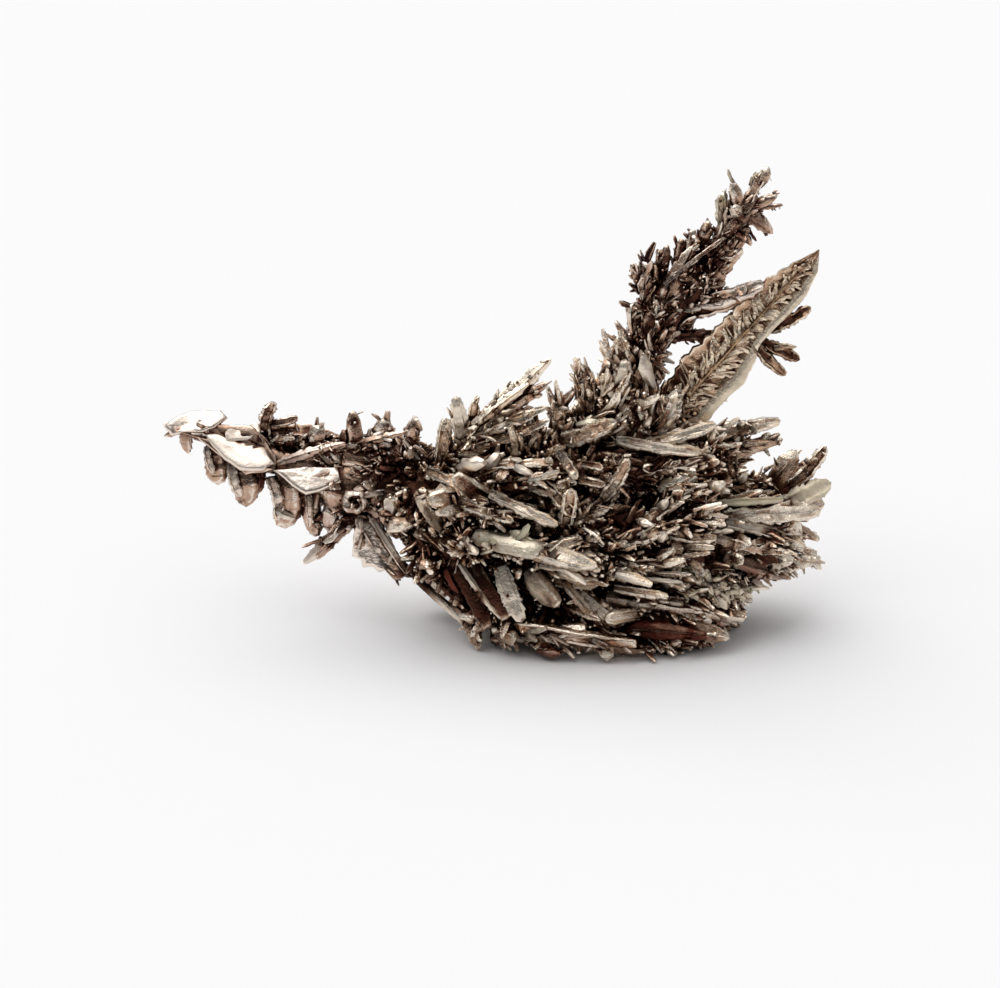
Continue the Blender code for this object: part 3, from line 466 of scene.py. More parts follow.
def blade_crystals():
    plate = drawn(
        (TABLET, (6.0, 18.4, 2.6), (15.8, 28.0, 3.8), 5.0, 1.3, TAN, -8),
        (LEAF, (9.2, 22.4, 3.0), (23.1, 37.2, 4.9), 4.4, 1.2, TAN, -8),
        (PLATE, (10.4, 19.8, 2.4), (16.6, 26.4, 3.2), 3.2, 0.9, TAN, -12),
        (PLATE, (13.4, 26.6, 3.6), (22.6, 34.4, 4.6), 3.2, 1.0, TAN, -12),
        (LATH, (8.6, 24.0, 3.2), (15.6, 31.9, 4.2), 1.4, 1.0),
        (LATH, (14.2, 30.6, 4.2), (22.8, 36.8, 4.9), 1.8, 1.0, TAN),
    )
    thorns = drawn(
        (KNOTTED, (17.8, 29.0, 4.0), (21.9, 31.2, 4.4), 1.4, 1.0, DUSK),
        (KNOTTED, (17.8, 29.4, 4.1), (21.2, 32.2, 4.6), 0.8, 0.7, BROWN),
        (KNOTTED, (16.0, 28.4, 3.8), (20.8, 26.1, 3.6), 1.4, 0.9, DUSK),
        (KNOTTED, (16.2, 28.0, 3.6), (19.4, 24.6, 3.2), 1.3, 0.8, DUSK),
        (SPIKE, (18.4, 27.2, 3.6), (20.6, 27.3, 3.8), 0.8, 0.7, BROWN),
    )
    return plate, thorns


BLADE_MIDRIB = ((7.6, 19.9, 2.5), (22.9, 37.0, 5.0))
# How far the blade reaches to each side of its midrib: share of the midrib, then steps.
BLADE_LEFT = (
    (0.0, 1.1), (0.12, 2.3), (0.26, 3.0), (0.45, 2.5), (0.6, 2.4), (0.75, 2.0), (0.87, 1.2),
    (0.97, 0.3), (1.0, 0.08),
)
BLADE_RIGHT = (
    (0.0, 1.8), (0.12, 3.1), (0.24, 3.0), (0.34, 3.3), (0.45, 2.7), (0.52, 1.9), (0.6, 1.95),
    (0.72, 2.1), (0.82, 2.05), (0.93, 1.3), (1.0, 0.08),
)
# The blade's front from its right edge to its left: share of the reach, height in steps, tone
# and how bright it is painted, as edge wear and a painted highlight. It has a smooth margin on
# the right, a midrib and a rim on the left.
BLADE_FRONT = (
    (-1.0, 0.0, 0.7, 0.2), (-0.96, 0.26, 0.84, 0.9), (-0.82, 0.3, 0.78, 0.0),
    (-0.64, 0.3, 0.74, 0.0), (-0.56, 0.14, 0.42, 0.0), (-0.3, 0.12, 0.36, 0.0),
    (-0.07, 0.2, 0.44, 0.0), (0.0, 0.6, 0.86, 1.0), (0.07, 0.2, 0.44, 0.0),
    (0.35, 0.12, 0.34, 0.0), (0.65, 0.12, 0.36, 0.0), (0.86, 0.16, 0.5, 0.0),
    (0.94, 0.3, 0.8, 1.0), (1.0, 0.0, 0.6, 0.3),
)
BLADE_BACK = (
    (0.8, -0.3, 0.6, 0.0), (0.4, -0.36, 0.55, 0.0), (0.0, -0.44, 0.66, 0.6),
    (-0.4, -0.36, 0.55, 0.0), (-0.8, -0.3, 0.6, 0.0),
)


def bottom_plate():
    """The broad lath along the foot: outline, thickness and finish."""
    outline = (
        (-7.8, -0.1, -7.8), (-5.6, -0.3, -8.6), (-2.4, -0.9, -9.1), (1.2, -1.5, -9.3),
        (4.8, -2.0, -9.2), (5.0, -2.7, -8.9), (1.0, -2.7, -9.0), (-3.0, -2.0, -8.8),
        (-6.0, -1.4, -8.3), (-7.9, -0.9, -7.6),
    )
    return outline, 0.8, AMBER


def heart_masses():
    return [
        mass((1.0, -0.4, 8.8), 27.0, 13.0, 12.0),
        mass((-11.0, 0.0, 13.0), 19.0, 7.6, 7.0, -8.0),
        mass((12.0, 0.8, 8.8), 17.0, 10.0, 7.4),
        mass((0.5, 1.4, 16.0), 21.0, 9.0, 7.6),
        mass((2.2, 2.4, 20.6), 10.0, 5.6, 7.0, 40.0),
        mass((0.8, -1.8, 2.6), 23.0, 12.4, 6.6),
        mass((-10.8, -2.6, 6.6), 15.0, 7.0, 6.8, -38.0),
    ]


def heart_groups():
    """The heart's own crystals, by the piece that they belong to."""
    long_bars = drawn(
        (KNOTTED, (-12.0, 15.3, -3.4), (-3.8, 15.7, -4.2), 1.1, 1.0, TAN, 20),
        (KNOTTED, (-10.0, 12.6, -5.0), (-3.4, 9.5, -6.8), 1.5, 1.2, TAN, 20),
        (KNOTTED, (-12.8, 11.6, -4.8), (-7.8, 9.9, -6.4), 1.4, 1.1, PLAIN, 20),
        (TABLET, (-17.4, 12.4, -2.6), (-11.4, 11.2, -4.8), 2.0, 1.0, PLAIN, 25),
        (SMOOTH_BAR, (-11.6, 8.4, -6.2), (-4.9, 6.9, -8.4), 2.2, 1.6, OLIVE, 30),
        (RIMMED_LEAF, (-6.4, 7.2, -7.3), (0.4, 5.4, -8.9), 2.3, 1.6, TAN, 25),
        (BAR, (-17.4, 10.4, -2.6), (-14.7, 7.0, -4.8), 1.7, 1.2, TAN, 20),
        (BAR, (-13.0, 7.4, -4.6), (-14.0, 4.5, -5.6), 1.2, 0.9),
    )
    lower_left = drawn(
        (OVAL, (-6.2, 5.0, -6.9), (-3.3, 1.6, -8.1), 2.4, 1.2, BLUED, -15),
        (TABLET, (-9.0, 5.4, -6.6), (-6.9, 0.0, -8.2), 1.9, 1.0, CREAM),
        (LATH, (-13.0, 5.6, -6.4), (-9.0, 0.2, -8.2), 0.7, 0.8, CREAM),
        (PLATE, (-13.4, 5.2, -5.4), (-10.2, -0.6, -7.2), 1.7, 0.7, RUSSET),
        (PLATE, (-11.4, 5.4, -6.2), (-8.4, 0.2, -8.0), 1.6, 0.7, RUSSET),
        (SMOOTH_BAR, (-17.7, 4.5, -2.0), (-12.0, -0.5, -5.2), 0.9, 0.8, CREAM),
        (SMOOTH_BAR, (-17.0, 5.6, -2.2), (-12.6, 1.2, -5.4), 0.6, 0.6, TAN),
        (TABLET, (-18.6, 10.4, -1.0), (-14.0, 4.0, -2.4), 3.0, 1.6, DARK),
        (LATH, (-13.8, 1.6, -4.2), (-11.2, -0.9, -5.6), 0.9, 0.8, TAN),
        (LATH, (-12.8, 2.2, -4.0), (-11.2, -2.8, -6.8), 1.5, 1.2, DARK),
    )
    underside = drawn(
        (LATH, (-9.4, -1.3, -6.4), (0.4, -1.8, -8.2), 1.7, 3.6, AMBER),
        (LATH, (-4.4, -1.5, -7.2), (5.9, -3.0, -8.2), 1.6, 4.4, AMBER),
        (LEAF, (2.0, -0.9, -7.6), (12.3, -1.7, -7.6), 2.0, 3.0, MAROON),
        (KNOTTED, (-6.4, -1.6, -6.6), (-3.6, -3.4, -8.6), 1.3, 1.1, MAROON),
        (SPIKE, (-9.0, 0.6, -5.6), (-11.8, -1.6, -6.4), 1.6, 1.2),
        (TABLET, (-1.6, 3.0, -6.0), (3.7, -1.3, -7.8), 2.0, 1.1, PLAIN, 10),
        (LATH, (-2.6, 3.8, -6.4), (1.1, -0.5, -7.8), 1.0, 0.9),
        (TABLET, (5.0, 6.2, -4.3), (15.0, 2.2, -4.9), 3.8, 2.4, GRIT, 30),
        (KNOTTED, (1.6, 2.2, -6.6), (15.4, 0.2, -6.2), 1.8, 1.8, AMBER, 30),
        (BAR, (2.4, 3.1, -6.4), (7.7, 2.3, -7.2), 1.1, 1.0, PLAIN, 30),
    )
    right_sprays = drawn(
        (LATH, (7.0, 12.6, 2.2), (18.4, 14.0, 4.4), 2.8, 2.2),
        (KNOB, (17.6, 12.0, 3.8), (20.4, 16.7, 4.6), 2.7, 1.7, PLUM),
        (KNOTTED, (19.0, 13.0, 3.8), (23.5, 17.2, 4.4), 1.6, 1.3, PLUM),
        (KNOB, (17.4, 11.4, 3.4), (20.6, 13.8, 4.0), 2.6, 1.6, PLUM),
        (KNOTTED, (18.0, 10.8, 1.0), (23.8, 13.6, 3.2), 2.3, 1.2, LEMON),
        (KNOTTED, (8.5, 10.8, 1.6), (23.1, 11.6, 3.0), 2.3, 1.8, TAN),
        (KNOTTED, (13.2, 10.2, -3.2), (22.8, 10.9, 0.4), 2.1, 1.2, PEACH, 10),
        (KNOTTED, (10.6, 11.5, -3.2), (19.2, 12.0, -0.8), 0.9, 0.9, LEMON, 20),
        (LATH, (16.4, 10.4, 1.4), (22.8, 8.1, 2.4), 1.5, 1.2, PLUM),
        (KNOTTED, (13.6, 9.8, -4.0), (21.3, 7.3, -1.0), 1.5, 1.3, CREAM, 10),
        (LATH, (12.6, 8.2, -5.0), (19.5, 6.5, -2.2), 1.2, 1.0, AMBER, 10),
        (LATH, (13.4, 6.2, -5.2), (19.1, 4.2, -2.4), 1.4, 1.2, RUST),
        (KNOTTED, (10.4, 8.6, -1.0), (18.4, 6.4, 0.6), 1.6, 1.3),
        (LATH, (9.0, 5.2, -2.2), (16.6, 3.4, -1.6), 2.2, 1.6),
    )
    forked_bar = drawn(
        (KNOTTED, (4.4, 17.3, -1.0), (12.4, 19.5, 0.3), 1.7, 1.3, PEACH, 20),
        (KNOTTED, (2.6, 18.0, -2.6), (11.4, 16.7, -1.2), 1.4, 1.2, PEACH, 20),
        (KNOTTED, (6.6, 17.1, 1.6), (18.8, 19.9, 3.8), 1.7, 1.5, TAN),
        (LATH, (7.4, 16.4, 1.6), (19.0, 18.0, 3.4), 2.0, 1.6, BROWN),
        (LATH, (7.6, 15.8, 2.0), (15.6, 15.9, 3.0), 1.9, 1.5),
    )
    crown = drawn(
        (KNOTTED, (-2.4, 17.8, -1.4), (2.4, 19.7, -0.8), 2.3, 1.8, MOSS, 20),
        (KNOTTED, (-0.6, 19.0, 1.2), (-0.6, 25.3, 2.2), 1.9, 1.6, TAN),
        (BAR, (1.7, 19.6, 1.2), (1.6, 25.5, 2.0), 1.2, 1.0),
        (TABLET, (2.8, 20.0, 1.2), (3.5, 25.8, 2.2), 2.2, 1.2, CREAM),
        (SPIKE, (4.4, 24.0, 2.4), (1.3, 27.6, 3.0), 2.0, 1.4),
        (BAR, (4.0, 22.4, 2.4), (3.0, 28.3, 3.2), 1.6, 1.2),
        (LATH, (5.8, 19.6, 0.6), (5.4, 25.6, 2.0), 2.2, 1.4),
        (TABLET, (7.2, 18.6, 0.4), (8.6, 22.6, 1.2), 2.0, 1.3, TAN),
        (BAR, (-3.2, 17.0, 0.6), (-3.1, 21.8, 1.0), 1.6, 1.4),
        (KNOB, (-5.4, 16.4, 0.4), (-5.5, 19.6, 0.8), 1.6, 1.3),
        (SPIKE, (-8.2, 16.0, 0.4), (-7.9, 18.8, 0.4), 1.7, 1.3),
        (BAR, (-15.2, 15.0, 0.6), (-14.4, 20.0, 0.9), 1.5, 1.2),
    )
    front = drawn(
        (KNOTTED, (-4.6, 13.6, -4.6), (-1.6, 10.4, -6.4), 1.5, 1.2),
        (KNOTTED, (1.4, 12.2, -4.8), (3.8, 16.0, -4.2), 1.5, 1.2),
        (BAR, (-2.4, 9.8, -6.2), (-1.9, 13.0, -5.8), 1.7, 1.3),
        (KNOTTED, (4.0, 9.4, -5.6), (8.6, 12.2, -4.4), 1.6, 1.2, PLAIN, 20),
        (KNOTTED, (2.4, 7.6, -6.6), (8.4, 9.4, -5.6), 1.6, 1.3, PLAIN, 20),
        (KNOTTED, (7.6, 11.8, -3.6), (12.8, 13.6, -2.4), 1.5, 1.2, PLAIN, 20),
        (KNOTTED, (7.6, 8.6, -5.2), (12.6, 8.2, -5.0), 1.3, 1.1, TAN, 20),
        (KNOTTED, (-3.2, 16.8, -4.0), (-1.4, 14.2, -5.4), 1.2, 1.1, TAN),
        (BAR, (-0.8, 15.6, -4.4), (1.2, 15.2, -4.8), 0.9, 0.8, CREAM, 20),
        (KNOTTED, (4.6, 14.4, -3.4), (10.6, 15.5, -2.2), 1.4, 1.2, PLAIN, 25),
        (BAR, (-8.4, 13.2, -4.0), (-4.6, 14.2, -4.8), 1.6, 1.2, PLAIN, 20),
        (KNOTTED, (-16.2, 14.8, -1.8), (-11.4, 13.6, -3.6), 1.4, 1.2, PLAIN, 20),
        (LATH, (2.0, 5.2, -7.0), (8.2, 6.0, -6.4), 1.8, 1.4, PLAIN, 25),
    )
    return {
        "heart_west": long_bars + lower_left,
        "heart_middle": crown + front + underside,
        "heart_east": right_sprays + forked_bar,
    }


CLADDING_FINISHES = tuple(
    Finish(tone, blush, 0.7)
    for tone, blush in (
        (0.14, 0.15), (0.3, 0.25), (0.36, 0.1), (0.48, 0.0), (0.5, -0.1), (0.55, 0.05),
        (0.68, 0.1), (0.78, 0.0), (0.86, 0.04),
    )
)


# ---- small crystals that clad a limb ------------------------------------------------------------


def cladding(stems, count, length, width, rise, seed):
    """Crystals over the stems' surface that lean outwards, by rise, from the way the stem grows."""
    chance = random.Random(seed)
    weights = [(item.tip - item.foot).length * (item.width + item.thick) for item in stems]
    made = []
    for _ in range(count):
        item = chance.choices(stems, weights)[0]
        across, through, along = item.frame()
        share = chance.uniform(0.04, 0.98)
        turn = chance.uniform(0.0, math.tau)
        outward = across * math.cos(turn) + through * math.sin(turn)
        girth = 0.5 * math.hypot(item.width * math.cos(turn), item.thick * math.sin(turn))
        girth *= 1.0 - 0.5 * abs(2.0 * share - 1.0) ** 3
        heading = outward * chance.uniform(*rise) + along * chance.choice((1.0, 1.0, -0.6))
        heading = (heading + outward.cross(along) * chance.uniform(-0.4, 0.4)).normalized()
        reach = chance.uniform(*length) * GRID
        girdle = chance.uniform(*width) * GRID
        sunk = min(0.35, 0.6 * girdle / reach)
        start = item.foot.lerp(item.tip, share) + outward * girth
        foot = start - heading * (reach * sunk) - outward * (0.45 * girdle)
        made.append(
            Crystal(
                chance.choice((LATH, LATH, BAR, KNOTTED)),
                foot,
                foot + heading * reach,
                girdle,
                girdle * chance.uniform(0.5, 0.85),
                outward,
                chance.choice(CLADDING_FINISHES),
            )
        )
    return made


# Hollows with painted shade, where the tone is darker and less matting grows: (right, up, back)
# on the drawing, and the radius in steps.
SHADED_HOLLOWS = (
    ((-16.6, 5.0, -2.6), 4.4), ((-15.6, 6.6, -4.2), 3.0), ((4.8, 14.4, -3.0), 2.4),
    ((12.6, 15.0, 0.4), 2.0), ((9.2, 10.2, -3.0), 2.2), ((15.8, 8.6, -0.8), 1.8),
    ((6.6, 7.4, -5.2), 1.8), ((17.6, 8.4, -2.6), 1.6), ((12.0, 6.6, -4.8), 1.7),
    ((0.4, 16.2, -3.6), 2.4), ((5.0, -1.4, -7.0), 2.2), ((9.2, -1.6, -6.4), 2.0),
    ((-13.4, 3.4, -4.4), 3.4), ((-11.6, 2.2, -6.4), 2.6), ((-19.5, 14.6, -1.0), 2.2),
    ((-17.6, 13.4, -1.6), 2.0), ((-3.6, 0.9, -6.6), 2.2), ((-11.0, 6.4, -5.0), 1.6),
    ((-9.8, 3.2, -6.0), 1.6), ((3.2, 9.8, -5.6), 2.0), ((-0.6, 12.0, -5.4), 1.8),
    ((5.4, 12.4, -4.0), 1.8), ((-7.6, 13.0, -4.6), 1.6), ((6.2, 15.4, -2.6), 1.6),
    ((0.6, 17.4, -1.2), 1.6), ((9.0, 24.6, 3.6), 1.6), ((11.8, 36.0, 5.8), 1.8),
)


# ---- meshes of crystals -------------------------------------------------------------------------


def store(mesh, name, values):
    """Gives a mesh's corners an attribute: a number each, or a vector each."""
    values = np.asarray(values, np.float32)
    kind, part = ("FLOAT", "value") if values.ndim == 1 else ("FLOAT_VECTOR", "vector")
    mesh.attributes.new(name, kind, "POINT").data.foreach_set(part, values.ravel())


def corners_of(mesh):
    points = np.empty(len(mesh.vertices) * 3)
    mesh.vertices.foreach_get("co", points)
    return points.reshape(-1, 3)


def place_in_scene(name, data):
    obj = bpy.data.objects.new(name, data)
    bpy.context.scene.collection.objects.link(obj)
    return obj


class Heap:
    """Collects crystals' corners and faces, and makes one mesh of them.

    Each corner carries the crystal's tone and blush, how far along it stands (reach), whether it
    is on an edge (rim), and where it is across, through and along the crystal in steps (lay).
    """

    def __init__(self):
        self.points, self.faces, self.count = [], [], 0
        self.values = {name: [] for name in ("tone", "blush", "reach", "rim", "lay")}

    def add(self, points, faces, **values):
        self.points.append(points)
        self.faces += [tuple(corner + self.count for corner in face) for face in faces]
        self.count += len(points)
        for name, parts in self.values.items():
            shape = (len(points), 3) if name == "lay" else (len(points),)
            parts.append(np.broadcast_to(np.asarray(values[name], float), shape))

    def mesh(self, name, sharp=SHARP, lay_size=1.0):
        mesh = bpy.data.meshes.new(name)
        points = np.concatenate(self.points)
        mesh.from_pydata(points.tolist(), [], self.faces)
        values = {key: np.concatenate(parts) for key, parts in self.values.items()}
        # Painted shade: the tone is darker in the hollows.
        values["tone"] = values["tone"] - 0.7 * shaded_hollow_share(points)
        values["lay"] = values["lay"] * lay_size
        for key, value in values.items():
            store(mesh, key, value)
        mesh.validate()
        mesh.shade_smooth()
        mesh.set_sharp_from_angle(angle=sharp)
        return mesh


def tube_faces(rings, sides):
    """Faces between rings of corners and round two poles, which come after the last ring."""
    faces = []
    for start in range(0, (rings - 1) * sides, sides):
        for corner in range(sides):
            a, b = start + corner, start + (corner + 1) % sides
            faces.append((a, b, b + sides, a + sides))
    last, pole = (rings - 1) * sides, rings * sides
    for corner in range(sides):
        after = (corner + 1) % sides
        faces += [(after, corner, pole), (last + corner, last + after, pole + 1)]
    return faces


def ring_shares(habit, chance):
    """Shares of the length where rings of corners stand: in close pairs where edges are notched."""
    if habit.notch == 0.0:
        return np.linspace(0.0, 1.0, habit.rings)
    even = (np.arange(habit.rings) + chance.uniform(-0.35, 0.3, habit.rings)) / habit.rings
    even[0] = 0.0
    after = even + chance.uniform(0.08, 0.3, habit.rings) / habit.rings
    return np.append(np.column_stack((even, after)).ravel(), 1.0)


EDGE_FROM = 0.8  # corners of a section beyond this share of half the width are on its edges
BROAD_FROM = 0.3  # corners above this share of half the thickness are on its broad side


def grow(heap, item, seed, floor=0.0):
    """Adds one crystal to the heap: rings of its section along a slightly bent axis."""
    chance = np.random.default_rng(seed)
    across, through, along = (np.array(part) for part in item.frame())
    length = (item.tip - item.foot).length
    habit = item.habit
    shares = ring_shares(habit, chance)
    count, sides = len(shares), len(habit.section)
    outline = np.array(habit.outline)
    slim = STEM_GIRTH if habit is STEM else 1.0
    wide = np.interp(shares, outline[:, 0], outline[:, 1]) * 0.5 * item.width * slim
    deep = np.interp(shares, outline[:, 0], outline[:, 2]) * 0.5 * item.thick * slim
    section = np.array(habit.section)
    edge = (np.abs(section[:, 0]) > EDGE_FROM).astype(float)
    broad = (section[:, 1] > BROAD_FROM).astype(float)
    barb = np.where(np.arange(count) % 2 == 0, 1.0, -0.9)[:, None]
    if habit.notch == 0.0:
        barb = barb * 0.0
    notch = 1.0 + habit.notch * barb * chance.uniform(0.1, 1.0, (count, sides)) * edge
    ledge = 1.0 + habit.ledge * chance.uniform(-1.0, 1.0, (count, 1)) * broad
    stray = chance.uniform(-habit.jitter, habit.jitter, (count, sides, 2))
    x = wide[:, None] * (section[None, :, 0] * notch + stray[..., 0])
    y = deep[:, None] * (section[None, :, 1] * ledge + stray[..., 1])
    sway = habit.bend * item.width * chance.uniform(-1.0, 1.0, 2)
    arch = np.sin(np.pi * shares)
    x += (sway[0] * arch)[:, None]
    y += (0.7 * sway[1] * arch)[:, None]
    z = (shares * length)[:, None] + chance.uniform(-0.04, 0.04, (count, sides)) * item.width
    foot = np.array(item.foot)
    points = foot + x[..., None] * across + y[..., None] * through + z[..., None] * along
    poles = [
        points[0].mean(0) - along * 0.08 * item.width,
        points[-1].mean(0) + along * min(0.16 * item.width, 0.6 * GRID),
    ]
    points = np.concatenate((points.reshape(-1, 3), poles))
    points[:, 2] = np.maximum(points[:, 2], floor)
    lay = np.column_stack((x.ravel(), y.ravel(), z.ravel())) / GRID + chance.uniform(0.0, 40.0, 3)
    # Edges, ridges and the tip's ring are rims, painted bright as edge wear and a painted
    # highlight.
    rim = np.tile(section[:, 2], count)
    rim[-sides:] = 1.0
    heap.add(
        points,
        tube_faces(count, sides),
        tone=item.finish.tone + chance.uniform(-0.12, 0.12),
        blush=item.finish.blush + chance.uniform(-0.1, 0.1),
        reach=np.concatenate((np.repeat(shares, sides), (0.0, 1.0))),
        rim=np.concatenate((rim, (0.0, 1.0))),
        lay=np.concatenate((lay, lay[:1], lay[-1:])),
    )


SLAB_LAY = 0.05  # how long a slab is taken to be, as a share, where its streaks are laid
SLAB_WAVE = 0.04  # how far a slab's top rises and falls, in steps
SLAB_EDGE = 0.7  # how far apart the corners along its edge stand, in steps
# A slab's rings of corners, from its top to its underside: share of the way inwards from the
# edge, height as a share of half the thickness, and how bright it is painted, as edge wear and
# a painted highlight.
SLAB_RINGS = (
    (0.6, 1.0, 0.0), (0.3, 1.0, 0.0), (0.12, 1.0, 0.15), (0.03, 0.75, 1.0), (0.0, 0.0, 0.4),
    (0.08, -1.0, 0.0),
)


def slab(heap, corners, thick, finish, seed):
    """Adds a broad plate with this outline, drawn in steps, its edges bevelled and uneven."""
    chance = np.random.default_rng(seed)
    outline = np.array([spot(*corner) for corner in corners])
    normal = np.zeros(3)
    for here, after in zip(outline, np.roll(outline, -1, axis=0)):
        normal += np.cross(here, after)
    normal /= np.linalg.norm(normal)
    if normal @ np.array(TOWARD_VIEWER) < 0.0:
        outline, normal = outline[::-1], -normal
    edge = []
    for here, after in zip(outline, np.roll(outline, -1, axis=0)):
        pieces = max(1, round(float(np.linalg.norm(after - here)) / (SLAB_EDGE * GRID)))
        for step in range(pieces):
            edge.append(here + (after - here) * step / pieces)
    edge = np.array(edge)
    count = len(edge)
    middle = edge.mean(0)
    edge += (middle - edge) * chance.uniform(-0.03, 0.05, (count, 1))
    half = 0.5 * thick * GRID
    rings, rims, reaches = [], [], []
    for inwards, height, rim in SLAB_RINGS:
        ring_points = edge + (middle - edge) * inwards + normal * height * half
        if height == 1.0:
            wave = chance.uniform(-SLAB_WAVE, SLAB_WAVE, (count, 1))
            ring_points += normal * wave * GRID
        rings.append(ring_points)
        rims += [rim] * count
        # The underside gets a low reach, so the foot shade paints it darker: painted shade under
        # the slab.
        reaches += [1.0 if height >= 0.0 else 0.3] * count
    top = rings[0].mean(0) + normal * 0.05 * GRID
    points = np.concatenate((*rings, [top, middle - normal * half]))
    points[:, 2] = np.maximum(points[:, 2], 0.0)
    side = np.cross(normal, (0.0, 0.0, 1.0))
    side /= np.linalg.norm(side)
    up = np.cross(side, normal)
    lay = np.column_stack((points @ up, points @ normal, points @ side)) / GRID * SLAB_LAY
    heap.add(
        points,
        [(face[0], *face[:0:-1]) for face in tube_faces(len(rings), count)],
        tone=finish.tone,
        blush=finish.blush,
        reach=np.array(reaches + [1.0, 0.2]),
        rim=np.array(rims + [0.0, 0.0]),
        lay=lay,
    )


BLADE_STATIONS = 56
BLADE_SCALLOPS = 16.0  # how many times the left edge swings out along the blade


def blade_plate(heap, item, seed):
    """Adds the blade's broad plate. The item gives its midrib and the way that it faces."""
    chance = np.random.default_rng(seed)
    across, through, along = (np.array(part) for part in item.frame())
    length = (item.tip - item.foot).length
    shares = np.linspace(0.0, 1.0, BLADE_STATIONS)
    left = np.interp(shares, *np.array(BLADE_LEFT).T) * GRID
    right = np.interp(shares, *np.array(BLADE_RIGHT).T) * GRID
    scallops = 1.0 + 0.07 * np.sin(shares * BLADE_SCALLOPS * math.tau)
    left = left * (scallops + chance.uniform(-0.03, 0.03, BLADE_STATIONS))
    right = right * (1.0 + chance.uniform(-0.02, 0.02, BLADE_STATIONS))
    profile = np.array(BLADE_FRONT + BLADE_BACK)[::-1]
    sides = len(profile)
    reach = np.where(profile[:, 0] > 0.0, left[:, None], right[:, None]) * profile[:, 0]
    thin = np.clip(0.35 + 4.0 * (1.0 - shares), 0.0, 1.0)[:, None]
    height = profile[:, 1] * GRID * thin + chance.uniform(-0.02, 0.02, reach.shape) * GRID
    z = shares[:, None] * length + chance.uniform(-0.05, 0.05, reach.shape) * GRID
    points = np.array(item.foot) + (
        reach[..., None] * across + height[..., None] * through + z[..., None] * along
    )
    points = np.concatenate((points.reshape(-1, 3), [points[0].mean(0), points[-1].mean(0)]))
    lay = np.column_stack((reach.ravel(), height.ravel(), z.ravel())) / GRID
    hollows = np.abs(profile[:, 2] - 0.4) < 0.11
    pits = chance.uniform(-0.9, 0.3, (BLADE_STATIONS, sides)) * hollows
    tones = profile[:, 2] + np.minimum(pits + 0.3, 0.0)
    heap.add(
        points,
        tube_faces(BLADE_STATIONS, sides),
        tone=np.append(tones.ravel(), (0.5, 0.8)),
        blush=0.05,
        reach=1.0,
        rim=np.append(np.tile(profile[:, 3], BLADE_STATIONS), (0.0, 1.0)),
        lay=np.concatenate((lay, lay[:1], lay[-1:])),
    )


RING_AROUND, RING_SIDES = 14, 7


def ring(heap, place, radius, tube, finish, seed):
    """Adds a crystal that grew as a ring round a hole and faces the viewer."""
    chance = np.random.default_rng(seed)
    facing = np.array(TOWARD_VIEWER)
    across = np.array((1.0, 0.0, 0.0))
    up = np.cross(facing, across)
    points, faces, rims = [], [], []
    for number in range(RING_AROUND):
        angle = math.tau * number / RING_AROUND
        way = across * math.cos(angle) + up * math.sin(angle)
        girth = tube * chance.uniform(0.7, 1.3)
        spread = radius * chance.uniform(0.88, 1.12)
        for side in range(RING_SIDES):
            turn = math.tau * side / RING_SIDES
            offset = way * math.cos(turn) + facing * math.sin(turn) * 1.2
            points.append(np.array(place) + way * spread + offset * girth)
            # The tube's side towards the viewer is a rim, painted bright as edge wear and a painted
            # highlight.
            rims.append(1.0 if math.sin(turn) > 0.8 else 0.0)
    for start in range(0, len(points), RING_SIDES):
        for side in range(RING_SIDES):
            a, b = start + side, start + (side + 1) % RING_SIDES
            c, d = ((corner + RING_SIDES) % len(points) for corner in (a, b))
            faces.append((a, c, d, b))
    points = np.array(points)
    heap.add(
        points, faces, tone=finish.tone, blush=finish.blush, reach=1.0, rim=np.array(rims),
        lay=points / GRID,
    )


def heap_of(crystals, seed):
    heap = Heap()
    for number, item in enumerate(crystals):
        grow(heap, item, seed + number)
    return heap


# ---- the few small shapes that mat the surface --------------------------------------------------


SPROUT_LEAF = Habit(
    ((0.0, 0.6, 0.8), (0.5, 1.0, 1.0), (0.85, 0.8, 0.85), (1.0, 0.4, 0.5)), ROD, 4, jitter=0.1
)
SPROUT_BAR = Habit(
    ((0.0, 0.8, 0.8), (0.3, 1.05, 1.0), (0.55, 0.72, 0.8), (0.84, 1.05, 1.0), (1.0, 0.4, 0.4)),
    ROD, 5, bend=0.3,
)
SPROUT_NUGGET = Habit(
    ((0.0, 0.6, 0.6), (0.4, 1.0, 1.0), (0.8, 0.9, 0.85), (1.0, 0.36, 0.36)), ROD, 4, jitter=0.16
)
SPROUT_TWIG = Habit(((0.0, 0.8, 0.8), (0.7, 1.0, 1.0), (1.0, 0.4, 0.4)), ROD, 3, bend=0.2)
SPROUT_LATH = Habit(((0.0, 0.7, 0.8), (0.6, 1.0, 1.0), (1.0, 0.45, 0.5)), RIMMED, 3, bend=0.2)


def sprout(habit, foot, tip, width, thick):
    return Crystal(habit, Vector(foot), Vector(tip), width, thick, Vector((0.0, 1.0, 0.0)))


